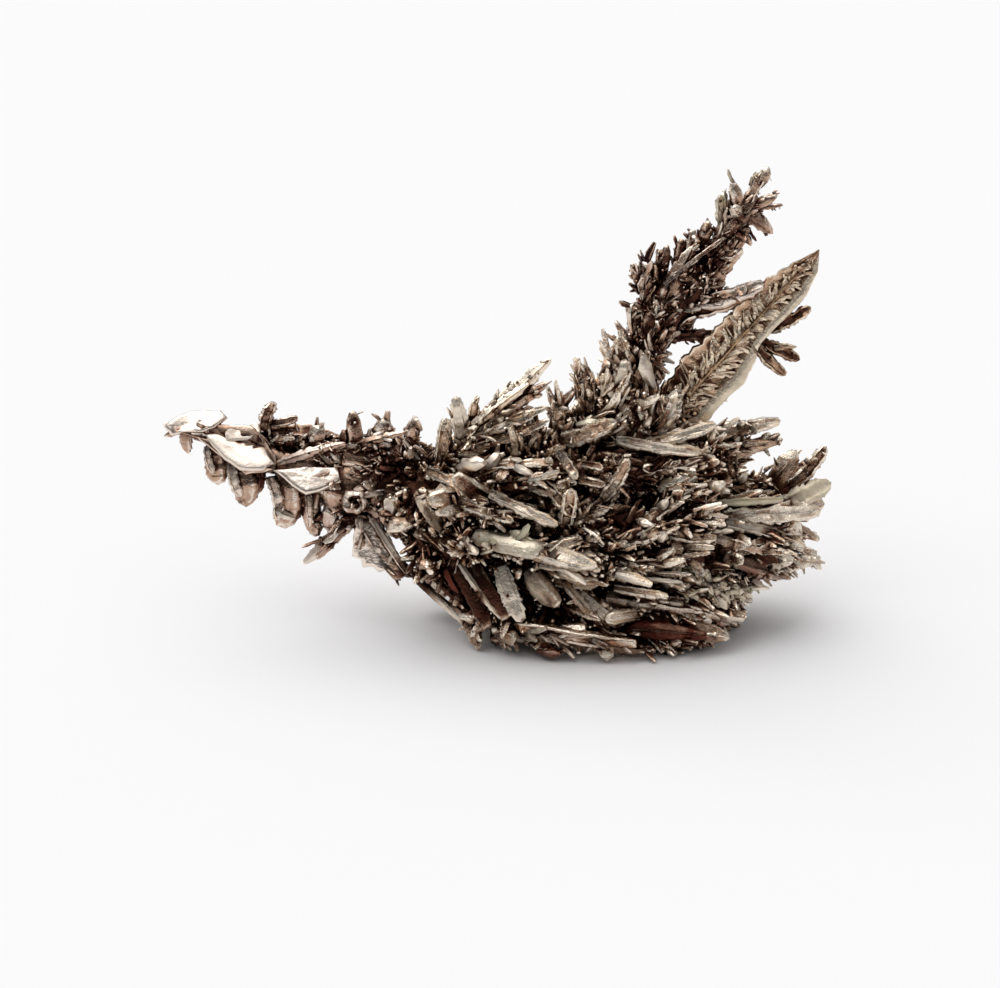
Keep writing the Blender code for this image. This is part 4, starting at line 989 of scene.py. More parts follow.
def sprout_shapes():
    """The small crystals, one step long, that grow up the Z axis with their broad side to Y."""
    return {
        "sprout 1 leaf": [sprout(SPROUT_LEAF, (0, 0, 0), (0, 0, 1), 0.52, 0.32)],
        "sprout 2 bar": [sprout(SPROUT_BAR, (0, 0, 0), (0, 0, 0.9), 0.4, 0.34)],
        "sprout 3 nugget": [sprout(SPROUT_NUGGET, (0, 0, 0), (0, 0, 0.66), 0.6, 0.52)],
        "sprout 4 twins": [
            sprout(SPROUT_TWIG, (-0.08, 0, 0), (-0.16, 0.05, 0.9), 0.28, 0.26),
            sprout(SPROUT_TWIG, (0.08, 0, 0), (0.2, -0.05, 0.7), 0.32, 0.26),
        ],
        "sprout 5 fork": [
            sprout(SPROUT_TWIG, (0, 0, 0), (0.06, 0, 1), 0.3, 0.26),
            sprout(SPROUT_TWIG, (-0.02, 0, 0.2), (-0.32, 0.06, 0.66), 0.24, 0.22),
        ],
        "sprout 6 lath": [sprout(SPROUT_LATH, (0, 0, 0), (0, 0, 1.1), 0.46, 0.26)],
        "sprout 7 block": [sprout(SPROUT_NUGGET, (0, 0, 0), (0.04, 0, 0.8), 0.48, 0.42)],
        "sprout 8 bent": [sprout(SPROUT_BAR, (0, 0, 0), (0.1, 0, 1.15), 0.3, 0.24)],
    }


def collection_of(name, shapes, seed, sharp):
    """Small shapes in a collection that isn't part of the scene."""
    found = bpy.data.collections.get(name)
    if found:
        return found
    group = bpy.data.collections.new(name)
    for number, (label, items) in enumerate(shapes.items()):
        heap = Heap()
        for item in items:
            grow(heap, item, seed + number, floor=NO_FLOOR)
        mesh = heap.mesh(label, sharp, SMALL_LAY)
        for taken in ("tone", "blush"):
            mesh.attributes.remove(mesh.attributes[taken])
        group.objects.link(bpy.data.objects.new(label, mesh))
    return group


# ---- node trees ---------------------------------------------------------------------------------


class Wiring:
    """Places the nodes of one tree and joins them. A value that is a socket is joined."""

    def __init__(self, tree):
        self.tree = tree

    def add(self, kind, *values, **settings):
        """A node. Settings in capitals are its inputs by name, and the others are its own."""
        node = self.tree.nodes.new(kind)
        for key, value in settings.items():
            if not key[0].isupper():
                setattr(node, key, value)
        for slot, value in enumerate(values):
            if value is not None:
                self.join(node.inputs[slot], value)
        for key, value in settings.items():
            if key[0].isupper():
                self.join(node.inputs[key.replace("_", " ")], value)
        return node

    def join(self, socket, value):
        if isinstance(value, bpy.types.NodeSocket):
            self.tree.links.new(value, socket)
        else:
            socket.default_value = value

    def maths(self, operation, *values):
        return self.add("ShaderNodeMath", *values, operation=operation).outputs[0]

    def plus(self, first, *others):
        for other in others:
            first = self.maths("ADD", first, other)
        return first

    def times(self, first, second):
        return self.maths("MULTIPLY", first, second)

    def swing(self, value, size):
        """A value from 0 to 1, turned into a swing of this size about nothing."""
        return self.times(self.maths("SUBTRACT", value, 0.5), size)

    def vectors(self, operation, *values):
        node = self.add("ShaderNodeVectorMath", *values, operation=operation)
        return node.outputs["Value" if operation in ("DOT_PRODUCT", "LENGTH") else "Vector"]

    def scaled(self, vector, size):
        node = self.add("ShaderNodeVectorMath", vector, operation="SCALE", Scale=size)
        return node.outputs["Vector"]


def made_once(name):
    """Wraps what makes the node group of this name, so that it's made once and found after that."""

    def wrap(make):
        return lambda: bpy.data.node_groups.get(name) or make()

    return wrap


def new_group(kind, name, inputs, outputs):
    """An empty node group with these sockets: its wiring, what it is given and its results."""
    tree = bpy.data.node_groups.new(name, kind)
    for in_out, sockets in (("INPUT", inputs), ("OUTPUT", outputs)):
        for label, socket_kind, *default in sockets:
            socket = tree.interface.new_socket(
                label, in_out=in_out, socket_type="NodeSocket" + socket_kind
            )
            if default:
                socket.default_value = default[0]
    w = Wiring(tree)
    return w, w.add("NodeGroupInput").outputs, w.add("NodeGroupOutput").inputs


def geometry_tree(name, *inputs):
    geometry = ("Geometry", "Geometry")
    return new_group("GeometryNodeTree", name, (geometry, *inputs), (geometry,))


def named(w, name, data_type="FLOAT"):
    return w.add("GeometryNodeInputNamedAttribute", name, data_type=data_type).outputs[0]


def store_named(w, geometry, name, value, domain="POINT", data_type="FLOAT"):
    return w.add(
        "GeometryNodeStoreNamedAttribute",
        geometry,
        data_type=data_type,
        domain=domain,
        Name=name,
        Value=value,
    ).outputs[0]


def chance_of(w, seed, low, high, offset, data_type="FLOAT"):
    """A random value for each point, from the tree's own seed."""
    node = w.add("FunctionNodeRandomValue", data_type=data_type)
    for label, value in (("Min", low), ("Max", high)):
        w.join(next(item for item in node.inputs if item.enabled and item.name == label), value)
    w.join(node.inputs["Seed"], w.plus(seed, float(offset)))
    return next(item for item in node.outputs if item.enabled)


def turned_to(w, heading, facing):
    """The turn that sends Z along the heading and Y towards the way it faces."""
    upright = w.add("FunctionNodeAlignRotationToVector", axis="Z", Vector=heading).outputs[0]
    return w.add(
        "FunctionNodeAlignRotationToVector",
        axis="Y",
        pivot_axis="Z",
        Rotation=upright,
        Vector=facing,
    ).outputs[0]


def plant(w, given, result, shapes, points, which, turn, size, values):
    """Sets one of the shapes on each point, with these values, and joins them to the geometry."""
    collection = w.add(
        "GeometryNodeCollectionInfo", shapes, Separate_Children=True, Reset_Children=True
    )
    instances = w.add(
        "GeometryNodeInstanceOnPoints",
        Points=points,
        Instance=collection.outputs[0],
        Pick_Instance=True,
        Instance_Index=which,
        Rotation=turn,
        Scale=w.add("ShaderNodeCombineXYZ", *size).outputs[0],
    ).outputs[0]
    for name, value in values:
        instances = store_named(w, instances, name, value, "INSTANCE")
    realised = w.add("GeometryNodeRealizeInstances", instances).outputs[0]
    joined = w.add("GeometryNodeJoinGeometry", given["Geometry"])
    w.join(joined.inputs[0], realised)
    done = w.add("GeometryNodeSetMaterial", joined.outputs[0], Material=given["Metal"])
    w.join(result[0], done.outputs[0])


def set_inputs(modifier, tree, **values):
    """Sets a geometry nodes modifier's inputs by the sockets' identifiers."""
    modifier.node_group = tree
    for item in tree.interface.items_tree:
        if item.item_type == "SOCKET" and item.in_out == "INPUT" and item.name in values:
            modifier[item.identifier] = values[item.name]


def bake(obj):
    """Makes the modifiers' result the object's own mesh."""
    bpy.context.view_layer.update()
    graph = bpy.context.evaluated_depsgraph_get()
    mesh = bpy.data.meshes.new_from_object(obj.evaluated_get(graph))
    obj.modifiers.clear()
    obj.data = mesh


# ---- the matting: small crystals over a surface -------------------------------------------------


@made_once("matting")
def matting_tree():
    """Geometry nodes that mat a skin with small crystals.

    Each leans from the skin's normal towards the way the crystal under it grows.
    """
    w, given, result = geometry_tree(
        "matting",
        ("Skin", "Object"),
        ("Sprouts", "Collection"),
        ("Density", "Float", 2.0e6),
        ("Smallest", "Float", 0.0008),
        ("Largest", "Float", 0.0016),
        ("Rise", "Float", 0.6),
        ("Spread", "Float", 0.5),
        ("Mottle", "Float", 0.62),
        ("Low corner", "Vector", (-1.0, -1.0, -1.0)),
        ("High corner", "Vector", (1.0, 1.0, 1.0)),
        ("Seed", "Int", 1),
        ("Metal", "Material"),
    )
    chance = partial(chance_of, w, given["Seed"])

    def any_way(offset):
        return chance((-1.0, -1.0, -1.0), (1.0, 1.0, 1.0), offset, "FLOAT_VECTOR")

    scattered = w.add(
        "GeometryNodeDistributePointsOnFaces",
        w.add("GeometryNodeObjectInfo", given["Skin"]).outputs["Geometry"],
        Density=w.times(given["Density"], named(w, "matting")),
        Seed=given["Seed"],
    ).outputs
    points = store_named(
        w, scattered["Points"], "outward", scattered["Normal"], data_type="FLOAT_VECTOR"
    )
    outward = named(w, "outward", "FLOAT_VECTOR")
    length = w.add(
        "ShaderNodeMapRange",
        w.maths("POWER", chance(0.0, 1.0, 3), 1.6),
        To_Min=given["Smallest"],
        To_Max=given["Largest"],
    ).outputs[0]
    size = w.times(named(w, "grain"), length)
    grown = w.vectors("ADD", w.scaled(outward, given["Rise"]), named(w, "flow", "FLOAT_VECTOR"))
    heading = w.vectors("NORMALIZE", w.vectors("ADD", grown, w.scaled(any_way(5), given["Spread"])))
    tip = w.vectors(
        "ADD", w.add("GeometryNodeInputPosition").outputs[0], w.scaled(heading, size)
    )
    nearest = w.vectors("MAXIMUM", tip, given["Low corner"])
    nearest = w.vectors("MINIMUM", nearest, given["High corner"])
    past_box = w.vectors("LENGTH", w.vectors("SUBTRACT", tip, nearest))
    outside = w.maths("GREATER_THAN", past_box, 1.0e-5)
    points = w.add("GeometryNodeDeleteGeometry", points, outside, domain="POINT").outputs[0]
    points = w.add(
        "GeometryNodeSetPosition", points, Offset=w.scaled(heading, w.times(size, -0.25))
    ).outputs[0]
    facing = w.vectors("ADD", outward, w.scaled(any_way(7), 0.8))
    width, thickness = w.times(size, chance(0.6, 1.15, 11)), w.times(size, chance(0.7, 1.5, 13))
    values = [
        (name, w.plus(named(w, name), w.times(change, chance(-1.0, 1.0, 19 + len(name)))))
        for name, change in (("tone", given["Mottle"]), ("blush", 0.28))
    ]
    plant(
        w, given, result, given["Sprouts"], points, chance(0, 7, 17, "INT"),
        turned_to(w, heading, facing), (width, thickness, size), values,
    )
    return w.tree


# ---- the blade's ribs ---------------------------------------------------------------------------


RIB = Habit(
    ((0.0, 0.5, 0.6), (0.25, 0.85, 0.85), (0.7, 1.0, 1.0), (0.93, 0.95, 0.9), (1.0, 0.6, 0.6)),
    ROD, 5, 0.1, 0.1, 0.25, 0.08,
)


@made_once("ribs")
def ribs_tree():
    """Geometry nodes that set ribs along a midrib, out to each point's own "half" width."""
    w, given, result = geometry_tree(
        "ribs",
        ("Midrib", "Object"),
        ("Ribs", "Collection"),
        ("Along", "Vector", (0.0, 0.0, 1.0)),
        ("Out", "Vector", (1.0, 0.0, 0.0)),
        ("Facing", "Vector", (0.0, -1.0, 0.0)),
        ("Angle", "Float", 0.8),
        ("Filled", "Float", 0.9),
        ("Width", "Float", 0.0005),
        ("Tone", "Float", 0.6),
        ("Seed", "Int", 1),
        ("Metal", "Material"),
    )
    chance = partial(chance_of, w, given["Seed"])
    points = w.add("GeometryNodeObjectInfo", given["Midrib"]).outputs["Geometry"]
    empty = w.maths("GREATER_THAN", chance(0.0, 1.0, 1), given["Filled"])
    points = w.add("GeometryNodeDeleteGeometry", points, empty, domain="POINT").outputs[0]
    angle = w.plus(given["Angle"], chance(-0.5, 0.5, 3))
    heading = w.vectors(
        "ADD",
        w.scaled(given["Along"], w.maths("COSINE", angle)),
        w.scaled(given["Out"], w.maths("SINE", angle)),
    )
    length = w.maths("DIVIDE", named(w, "half"), w.maths("SINE", given["Angle"]))
    size = (
        w.times(given["Width"], chance(0.7, 1.7, 7)),
        w.times(given["Width"], chance(0.7, 1.1, 9)),
        w.times(length, chance(0.3, 1.0, 5)),
    )
    values = (
        ("tone", w.plus(given["Tone"], chance(-0.3, 0.26, 13))), ("blush", chance(-0.1, 0.3, 15)),
    )
    plant(
        w, given, result, given["Ribs"], points, chance(0, 3, 11, "INT"),
        turned_to(w, heading, given["Facing"]), size, values,
    )
    return w.tree


RIB_COUNT = 84
RIB_END = 0.95  # the share of the midrib after which there are no ribs
RIB_LIFT = 0.1  # how far in front of the midrib the ribs start, in steps
RIB_AHEAD = 0.04  # how much further along, as a share, a rib ends than it starts
RIB_REACH = 0.8  # how far a rib reaches, as a share of the blade's own reach


def midrib_points(name, item, reaches):
    """Points along a midrib that know how far the blade reaches on one side."""
    chance = random.Random(name)
    length = (item.tip - item.foot).length
    _, through, along = item.frame()
    places = [number + chance.uniform(-0.25, 0.25) for number in range(RIB_COUNT)]
    shares = [RIB_END * place / RIB_COUNT for place in places]
    mesh = bpy.data.meshes.new(name)
    lift = through * (RIB_LIFT * GRID)
    mesh.from_pydata([item.foot + along * (share * length) + lift for share in shares], [], [])
    ahead = np.array(shares) + RIB_AHEAD
    store(mesh, "half", np.interp(ahead, *np.array(reaches).T) * RIB_REACH * GRID)
    return place_in_scene(name, mesh)


# ---- the skin that the matting grows on ---------------------------------------------------------


def nearest_crystals(points, crystals):
    """For each point, the number of the crystal whose surface is nearest."""
    best = np.full(len(points), 1e9)
    owner = np.zeros(len(points), int)
    for number, item in enumerate(crystals):
        foot, axis = np.array(item.foot), np.array(item.tip - item.foot)
        share = np.clip((points - foot) @ axis / (axis @ axis), 0.0, 1.0)
        gap = points - foot - share[:, None] * axis
        across, through, _ = (np.array(part) for part in item.frame())
        span = np.hypot(gap @ across / (0.5 * item.width), gap @ through / (0.5 * item.thick))
        rest = np.abs(gap @ np.array(item.axis)) / (0.5 * item.width)
        distance = np.abs(span - 0.9) * 0.5 * item.thick + rest * 0.5 * item.width
        closer = distance < best
        best[closer], owner[closer] = distance[closer], number
    return owner


OPENNESS_RAYS = 14
OPENNESS_START = 0.1  # how far off the surface its rays begin, in steps
OPENNESS_REACH = 4.5 * GRID


def openness(mesh, points):
    """How open to the outside each corner of a surface is, from 0 in a deep gap to 1."""
    tree = BVHTree.FromPolygons(
        [vert.co for vert in mesh.vertices], [list(face.vertices) for face in mesh.polygons]
    )
    chance = random.Random(3)
    rays = [Vector([chance.gauss(0.0, 1.0) for _ in range(3)]) for _ in range(OPENNESS_RAYS)]
    rays = [ray.normalized() for ray in rays]
    found = np.empty(len(points))
    for number, vert in enumerate(mesh.vertices):
        start = vert.co + vert.normal * OPENNESS_START * GRID
        free = 0.0
        for ray in rays:
            ray = ray if ray.dot(vert.normal) > 0.0 else -ray
            hit = tree.ray_cast(start, ray, OPENNESS_REACH)[3]
            free += 1.0 if hit is None else hit / OPENNESS_REACH * 0.5
        found[number] = free / OPENNESS_RAYS
    return found


GAP_RAYS = 18
GAP_START = 3.0e-5  # how far off the surface its rays begin, in metres
# Painted shade: how much less open a corner in a hollow counts.
HOLLOW_SHADE_DEPTH = 0.84  # the share of its openness that a dark hollow takes
# Painted light: faces count as a little more open, so lighter, the more they look towards the
# light above, and darker the more they look away.
PAINTED_LIGHT_FROM = (-0.24, -0.2, 0.95)
PAINTED_LIGHT_LEAST, PAINTED_LIGHT_GAIN = 0.89, 0.34


@made_once("gaps")
def gaps_tree():
    """Geometry nodes that store, as "open", how free each corner's view out of the whole is."""
    w, given, result = geometry_tree("gaps", ("Whole", "Object"), ("Reach", "Float", 0.002))
    whole = w.add("GeometryNodeObjectInfo", given["Whole"]).outputs["Geometry"]
    normal = w.add("GeometryNodeInputNormal").outputs[0]
    place = w.add("GeometryNodeInputPosition").outputs[0]
    start = w.vectors("ADD", place, w.scaled(normal, GAP_START))
    free, weights = 0.0, 0.0
    for number in range(GAP_RAYS):
        height = 1.0 - 2.0 * (number + 0.5) / GAP_RAYS
        round_it = math.sqrt(1.0 - height * height)
        turn = number * math.pi * (3.0 - math.sqrt(5.0))
        way = (round_it * math.cos(turn), round_it * math.sin(turn), height)
        facing = w.vectors("DOT_PRODUCT", normal, way)
        ray = w.add(
            "GeometryNodeRaycast",
            Target_Geometry=whole,
            Source_Position=start,
            Ray_Direction=w.scaled(w.vectors("NORMALIZE", way), w.maths("SIGN", facing)),
            Ray_Length=given["Reach"],
        ).outputs
        near = w.maths("SUBTRACT", 1.0, w.maths("DIVIDE", ray["Hit Distance"], given["Reach"]))
        view = w.maths("SUBTRACT", 1.0, w.times(ray["Is Hit"], near))
        weight = w.maths("ABSOLUTE", facing)
        free, weights = w.plus(free, w.times(weight, view)), w.plus(weights, weight)
    share = w.maths("DIVIDE", free, weights)
    w.join(result[0], store_named(w, given["Geometry"], "open", share))
    return w.tree


def mark_gaps(pieces, reach):
    """Gives each piece's corners their "open", seen among all the pieces: painted shade in gaps and
    hollows, painted light on faces turned up.
    """
    bm = bmesh.new()
    for piece in pieces:
        bm.from_mesh(piece.data)
    mesh = bpy.data.meshes.new("whole")
    bm.to_mesh(mesh)
    bm.free()
    whole = place_in_scene("whole", mesh)
    for piece in pieces:
        probe = place_in_scene("probe", piece.data.copy())
        set_inputs(probe.modifiers.new("Gaps", "NODES"), gaps_tree(), Whole=whole, Reach=reach)
        bake(probe)
        values = np.empty(len(probe.data.vertices), np.float32)
        probe.data.attributes["open"].data.foreach_get("value", values)
        normals = np.empty(3 * len(values), np.float32)
        probe.data.vertex_normals.foreach_get("vector", normals)
        # Painted shade: corners in the dark hollows count as less open.
        values *= 1.0 - HOLLOW_SHADE_DEPTH * shaded_hollow_share(corners_of(probe.data))
        # Painted light from above: faces turned up count as more open, faces turned down as less.
        values *= PAINTED_LIGHT_LEAST + PAINTED_LIGHT_GAIN * normals.reshape(-1, 3) @ np.array(PAINTED_LIGHT_FROM)
        store(piece.data, "open", values)
        bpy.data.objects.remove(probe)
    bpy.data.objects.remove(whole)


def shaded_hollow_share(points):
    """How far inside one of the dark hollows each point is, from 0 to 1."""
    deepest = np.zeros(len(points))
    for place, radius in SHADED_HOLLOWS:
        gap = np.linalg.norm(points - np.array(spot(*place)), axis=1) / (radius * GRID)
        deepest = np.maximum(deepest, np.clip(1.5 * (1.0 - gap), 0.0, 1.0))
    return deepest


# How the matting changes over the skin. Places are in metres.
BARE_UNDER = 0.0004  # no matting grows below this, so that the crystal rests on its plates
SPARSE_WEST = -0.004  # to the left of this X, less of it grows in deep gaps
THICKER_EAST = ((0.005, 0.01), (1.0, 1.1))  # its thickness between two places of X
FINER_EAST = ((0.007, 0.011), (1.0, 0.72))  # its size between two places of X
LEAST_MATTING = 0.45  # the least share of it in a gap
LEAST_WEST_FRONT = 0.06  # the same on the front in the west
SKIN_EDGE = 1.6 * GRID  # longer edges of the skin are halved
# Over a hidden stem it grows partly along the stem and mostly away from the limb's root.
ALONG_STEM, AWAY_FROM_ROOT = 0.35, 0.8
GAP_SHADE = 0.75  # how much darker it is in the deepest gap


def skin_of(node, crystals, drift, grain=1.0, under=PLAIN.tone):
    """A finer copy of a CAD node's surface that knows how the crystals under it grow."""
    bm = bmesh.new()
    bm.from_mesh(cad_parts[node].data)
    bmesh.ops.remove_doubles(bm, verts=bm.verts, dist=1e-7)
    long_edges = [edge for edge in bm.edges if edge.calc_length() > SKIN_EDGE]
    bmesh.ops.subdivide_edges(bm, edges=long_edges, cuts=1, use_grid_fill=True)
    bmesh.ops.triangulate(bm, faces=bm.faces)
    mesh = bpy.data.meshes.new("skin of " + node)
    bm.to_mesh(mesh)
    bm.free()
    points = corners_of(mesh)
    owner = nearest_crystals(points, crystals)
    finishes = [item.finish for item in crystals]
    flow = np.array([item.axis for item in crystals])[owner]
    away = points - np.array(drift)
    away /= np.linalg.norm(away, axis=1)[:, None]
    hidden = np.array([finish is HIDDEN for finish in finishes])[owner]
    flow[hidden] = ALONG_STEM * flow[hidden] + AWAY_FROM_ROOT * away[hidden]
    matting = np.array([finish.matting for finish in finishes])[owner]
    matting[points[:, 2] < BARE_UNDER] = 0.0
    matting *= np.interp(points[:, 0], *THICKER_EAST)
    hollow = shaded_hollow_share(points)
    shade = openness(mesh, points) - hollow
    west = points[:, 0] < SPARSE_WEST
    bare = np.where(west, 1.0, 0.3)
    least = np.where(west & (points[:, 1] < 0.0), LEAST_WEST_FRONT, LEAST_MATTING)
    matting *= np.clip(0.35 + shade + (1.0 - bare) * hollow, least, 1.0)
    grains = grain * np.interp(points[:, 0], *FINER_EAST)
    tone = np.array([under if finish is HIDDEN else finish.tone for finish in finishes])[owner]
    # Painted shade: the tone is darker deep in gaps and in the hollows.
    tone = tone - GAP_SHADE * (1.0 - np.clip(shade, -0.4, 1.0))
    blush = np.array([finish.blush for finish in finishes])[owner]
    values = {"matting": matting, "grain": grains, "tone": tone, "blush": blush, "flow": flow}
    for name, value in values.items():
        store(mesh, name, value)
    return place_in_scene("skin of " + node, mesh)


def thin_matting(skin, share):
    """Keeps only a share of the matting at each corner of the skin, by its place."""
    for vert, value in zip(skin.data.vertices, skin.data.attributes["matting"].data):
        value.value *= share(vert.co)


# ---- metals -------------------------------------------------------------------------------------

SMOOTHEST = 0.06  # the least roughness that any of the metal has
FOOT_SHADE = 0.3  # how bright the foot of a crystal is, as a share


def attribute(w, name, vector=False):
    node = w.add("ShaderNodeAttribute", attribute_name=name)
    return node.outputs["Vector" if vector else "Fac"]


def ramp(w, value, low, high):
    """The value's share of the way from low to high, smoothed."""
    node = w.add("ShaderNodeMapRange", value, low, high, interpolation_type="SMOOTHSTEP")
    return node.outputs[0]


def mix(w, share, first, second):
    node = w.add("ShaderNodeMix", data_type="RGBA")
    for label, value in (("Factor_Float", share), ("A_Color", first), ("B_Color", second)):
        w.join(next(item for item in node.inputs if item.identifier == label), value)
    return next(item for item in node.outputs if item.identifier == "Result_Color")


def noise(w, vector, scale, detail=3.0, roughness=0.6):
    return w.add(
        "ShaderNodeTexNoise", Vector=vector, Scale=scale, Detail=detail, Roughness=roughness
    ).outputs[0]


def stretched(w, vector, sizes):
    return w.add("ShaderNodeMapping", vector, Scale=sizes).outputs[0]


@made_once("growth colour")
def growth_colour_group():
    """Colour by tone and blush, with painted shade at feet and in gaps, painted light on open faces
    and wear with a painted highlight on rims.
    """
    w, given, result = new_group(
        "ShaderNodeTree",
        "growth colour",
        (
            ("Deep", "Color", (0.06, 0.04, 0.03, 1.0)),
            ("Metal", "Color", (0.4, 0.34, 0.3, 1.0)),
            ("Bright", "Color", (0.8, 0.76, 0.7, 1.0)),
            ("Rust", "Color", (0.3, 0.08, 0.03, 1.0)),
            ("Cold", "Color", (0.4, 0.44, 0.46, 1.0)),
            ("Foot shade", "Float", 0.3),
            # Rub: how bright the rims are painted, as edge wear and a painted highlight.
            ("Rub", "Float", 0.35),
        ),
        (("Colour", "Color"),),
    )
    place = w.add("ShaderNodeTexCoord").outputs["Object"]
    lay = attribute(w, "lay", vector=True)
    patches = noise(w, place, 700.0, 4.0, 0.65)
    streaks = noise(w, stretched(w, lay, (1.6, 1.6, 0.35)), 2.0, 3.0, 0.7)
    # Rims painted bright in patches: edge wear and a painted highlight.
    rim_patches = ramp(w, noise(w, place, 2600.0), 0.25, 0.55)
    brightened = w.times(w.maths("POWER", attribute(w, "rim"), 2.5), rim_patches)
    # The "open" of each corner paints shade in gaps and light on open faces.
    free = attribute(w, "open")
    tone = w.plus(
        attribute(w, "tone"),
        w.swing(patches, 1.1),
        w.swing(streaks, 0.8),
        w.times(brightened, given["Rub"]),
        w.times(w.maths("SUBTRACT", free, 0.6), 0.9),
    )
    shade = mix(w, ramp(w, tone, 0.0, 0.5), given["Deep"], given["Metal"])
    shade = mix(w, ramp(w, tone, 0.5, 1.05), shade, given["Bright"])
    blush = w.plus(attribute(w, "blush"), w.swing(noise(w, place, 420.0), 0.9))
    shade = mix(w, w.times(ramp(w, blush, 0.15, 0.9), 0.85), shade, given["Rust"])
    shade = mix(w, ramp(w, w.times(blush, -1.0), 0.15, 0.8), shade, given["Cold"])
    # Painted shade at each crystal's foot.
    foot = w.add(
        "ShaderNodeMapRange", attribute(w, "reach"), 0.0, 0.6, given["Foot shade"], 1.0
    ).outputs[0]
    # Painted shade: faces deep in a gap take the deep colour.
    gap = w.scaled(given["Deep"], 0.8)
    w.join(result["Colour"], mix(w, ramp(w, free, 0.1, 0.5), gap, w.scaled(shade, foot)))
    return w.tree


@made_once("metal grain")
def grain_group():
    """The metal's fine relief and how its polish varies: streaks and ledges along each crystal."""
    w, given, result = new_group(
        "ShaderNodeTree",
        "metal grain",
        (
            ("Roughness", "Float", 0.25),
            ("Roughness spread", "Float", 0.3),
            ("Satin", "Float", 0.2),
            ("Streaks", "Float", 0.6),
        ),
        (("Height", "Float"), ("Roughness", "Float")),
    )
    place = w.add("ShaderNodeTexCoord").outputs["Object"]
    lay = attribute(w, "lay", vector=True)
    streaks = noise(w, stretched(w, lay, (7.0, 7.0, 0.7)), 1.0, 3.0)
    ledges = noise(w, stretched(w, lay, (0.8, 0.8, 3.2)), 1.0, 1.0)
    pits = noise(w, place, 3800.0, 3.0)
    height = w.plus(
        w.times(streaks, given["Streaks"]),
        w.times(w.maths("SNAP", ledges, 0.09), 1.3),
        w.times(pits, 0.9),
    )
    w.join(result["Height"], height)
    satin = w.times(ramp(w, attribute(w, "tone"), 0.6, 0.9), given["Satin"])
    film = ramp(w, w.times(attribute(w, "blush"), -1.0), 0.1, 0.5)
    rough = w.plus(
        w.swing(noise(w, place, 1500.0), given["Roughness spread"]), satin, w.times(film, 0.34)
    )
    rough = w.plus(given["Roughness"], rough)
    w.join(result["Roughness"], w.maths("MAXIMUM", rough, SMOOTHEST))
    return w.tree


def crystal_metal(name, settings, tint, rub=0.6, relief=0.5, satin=0.2):
    """The metal of one limb: the set colours, shifted by its own tint."""
    material = bpy.data.materials.new(name)
    material.use_nodes = True
    shader = material.node_tree.nodes["Principled BSDF"]
    w = Wiring(material.node_tree)

    def tinted(colour):
        return tuple(part * share for part, share in zip(colour, tint)) + (1.0,)

    colour = w.add(
        "ShaderNodeGroup",
        node_tree=growth_colour_group(),
        Deep=tinted(settings.deep),
        Metal=tinted(settings.metal),
        Bright=tinted(settings.bright),
        Rust=tuple(settings.rust) + (1.0,),
        Cold=tuple(settings.cold) + (1.0,),
        Foot_shade=FOOT_SHADE,
        Rub=rub,
    )
    grain = w.add(
        "ShaderNodeGroup",
        node_tree=grain_group(),
        Roughness=settings.roughness,
        Roughness_spread=settings.roughness_spread,
        Satin=satin,
    )
    bump = w.add(
        "ShaderNodeBump", Strength=relief, Distance=settings.relief, Height=grain.outputs["Height"]
    )
    shader.inputs["Metallic"].default_value = 1.0
    w.join(shader.inputs["Base Color"], colour.outputs["Colour"])
    w.join(shader.inputs["Roughness"], grain.outputs["Roughness"])
    w.join(shader.inputs["Normal"], bump.outputs[0])
    return material


# ---- settings -----------------------------------------------------------------------------------


class CrystalMetalSettings(bpy.types.PropertyGroup):
    """The metal's colours and polish."""

    # Deep is also the painted shade laid in gaps between the crystals.
    deep: FloatVectorProperty(
        name="Deep", description="Metal between the crystals", subtype="COLOR", size=3,
        min=0.0, max=1.0, default=(0.08, 0.034, 0.023),
    )
    metal: FloatVectorProperty(
        name="Metal", description="Most of the metal", subtype="COLOR", size=3,
        min=0.0, max=1.0, default=(0.52, 0.365, 0.265),
    )
    # The bright colour also takes the painted highlight on rims and the painted light on open
    # faces.
    bright: FloatVectorProperty(
        name="Bright", description="Smooth faces and rubbed edges", subtype="COLOR", size=3,
        min=0.0, max=1.0, default=(0.92, 0.84, 0.73),
    )
    rust: FloatVectorProperty(
        name="Rust", description="Oxidised crystals", subtype="COLOR", size=3,
        min=0.0, max=1.0, default=(0.17, 0.035, 0.022),
    )
    cold: FloatVectorProperty(
        name="Cold", description="Crystals with a blue-grey film", subtype="COLOR", size=3,
        min=0.0, max=1.0, default=(0.62, 0.575, 0.43),
    )
    roughness: FloatProperty(
        name="Roughness", description="How matt the metal is", subtype="FACTOR",
        min=0.0, max=1.0, default=0.13,
    )
    roughness_spread: FloatProperty(
        name="Roughness spread", description="How much the polish varies", subtype="FACTOR",
        min=0.0, max=1.0, default=0.26,
    )
    relief: FloatProperty(
        name="Relief", description="Height of the fine relief", subtype="DISTANCE", unit="LENGTH",
        min=0.0, default=0.00008,
    )


class CrystalMattingSettings(bpy.types.PropertyGroup):
    """The small crystals that mat every limb."""

    density: FloatProperty(
        name="Density", description="Small crystals on each square metre", min=0.0, default=4.2e6
    )
    smallest: FloatProperty(
        name="Smallest", description="Length of the smallest", subtype="DISTANCE", unit="LENGTH",
        min=0.0, default=0.0007,
    )
    largest: FloatProperty(
        name="Largest", description="Length of the largest", subtype="DISTANCE", unit="LENGTH",
        min=0.0, default=0.0018,
    )
    gap: FloatProperty(
        name="Gap", description="How wide a gap still looks dark", subtype="DISTANCE",
        unit="LENGTH", min=0.0001, default=0.0022,
    )
    seed: IntProperty(name="Seed", description="Which of the random arrangements", default=7)


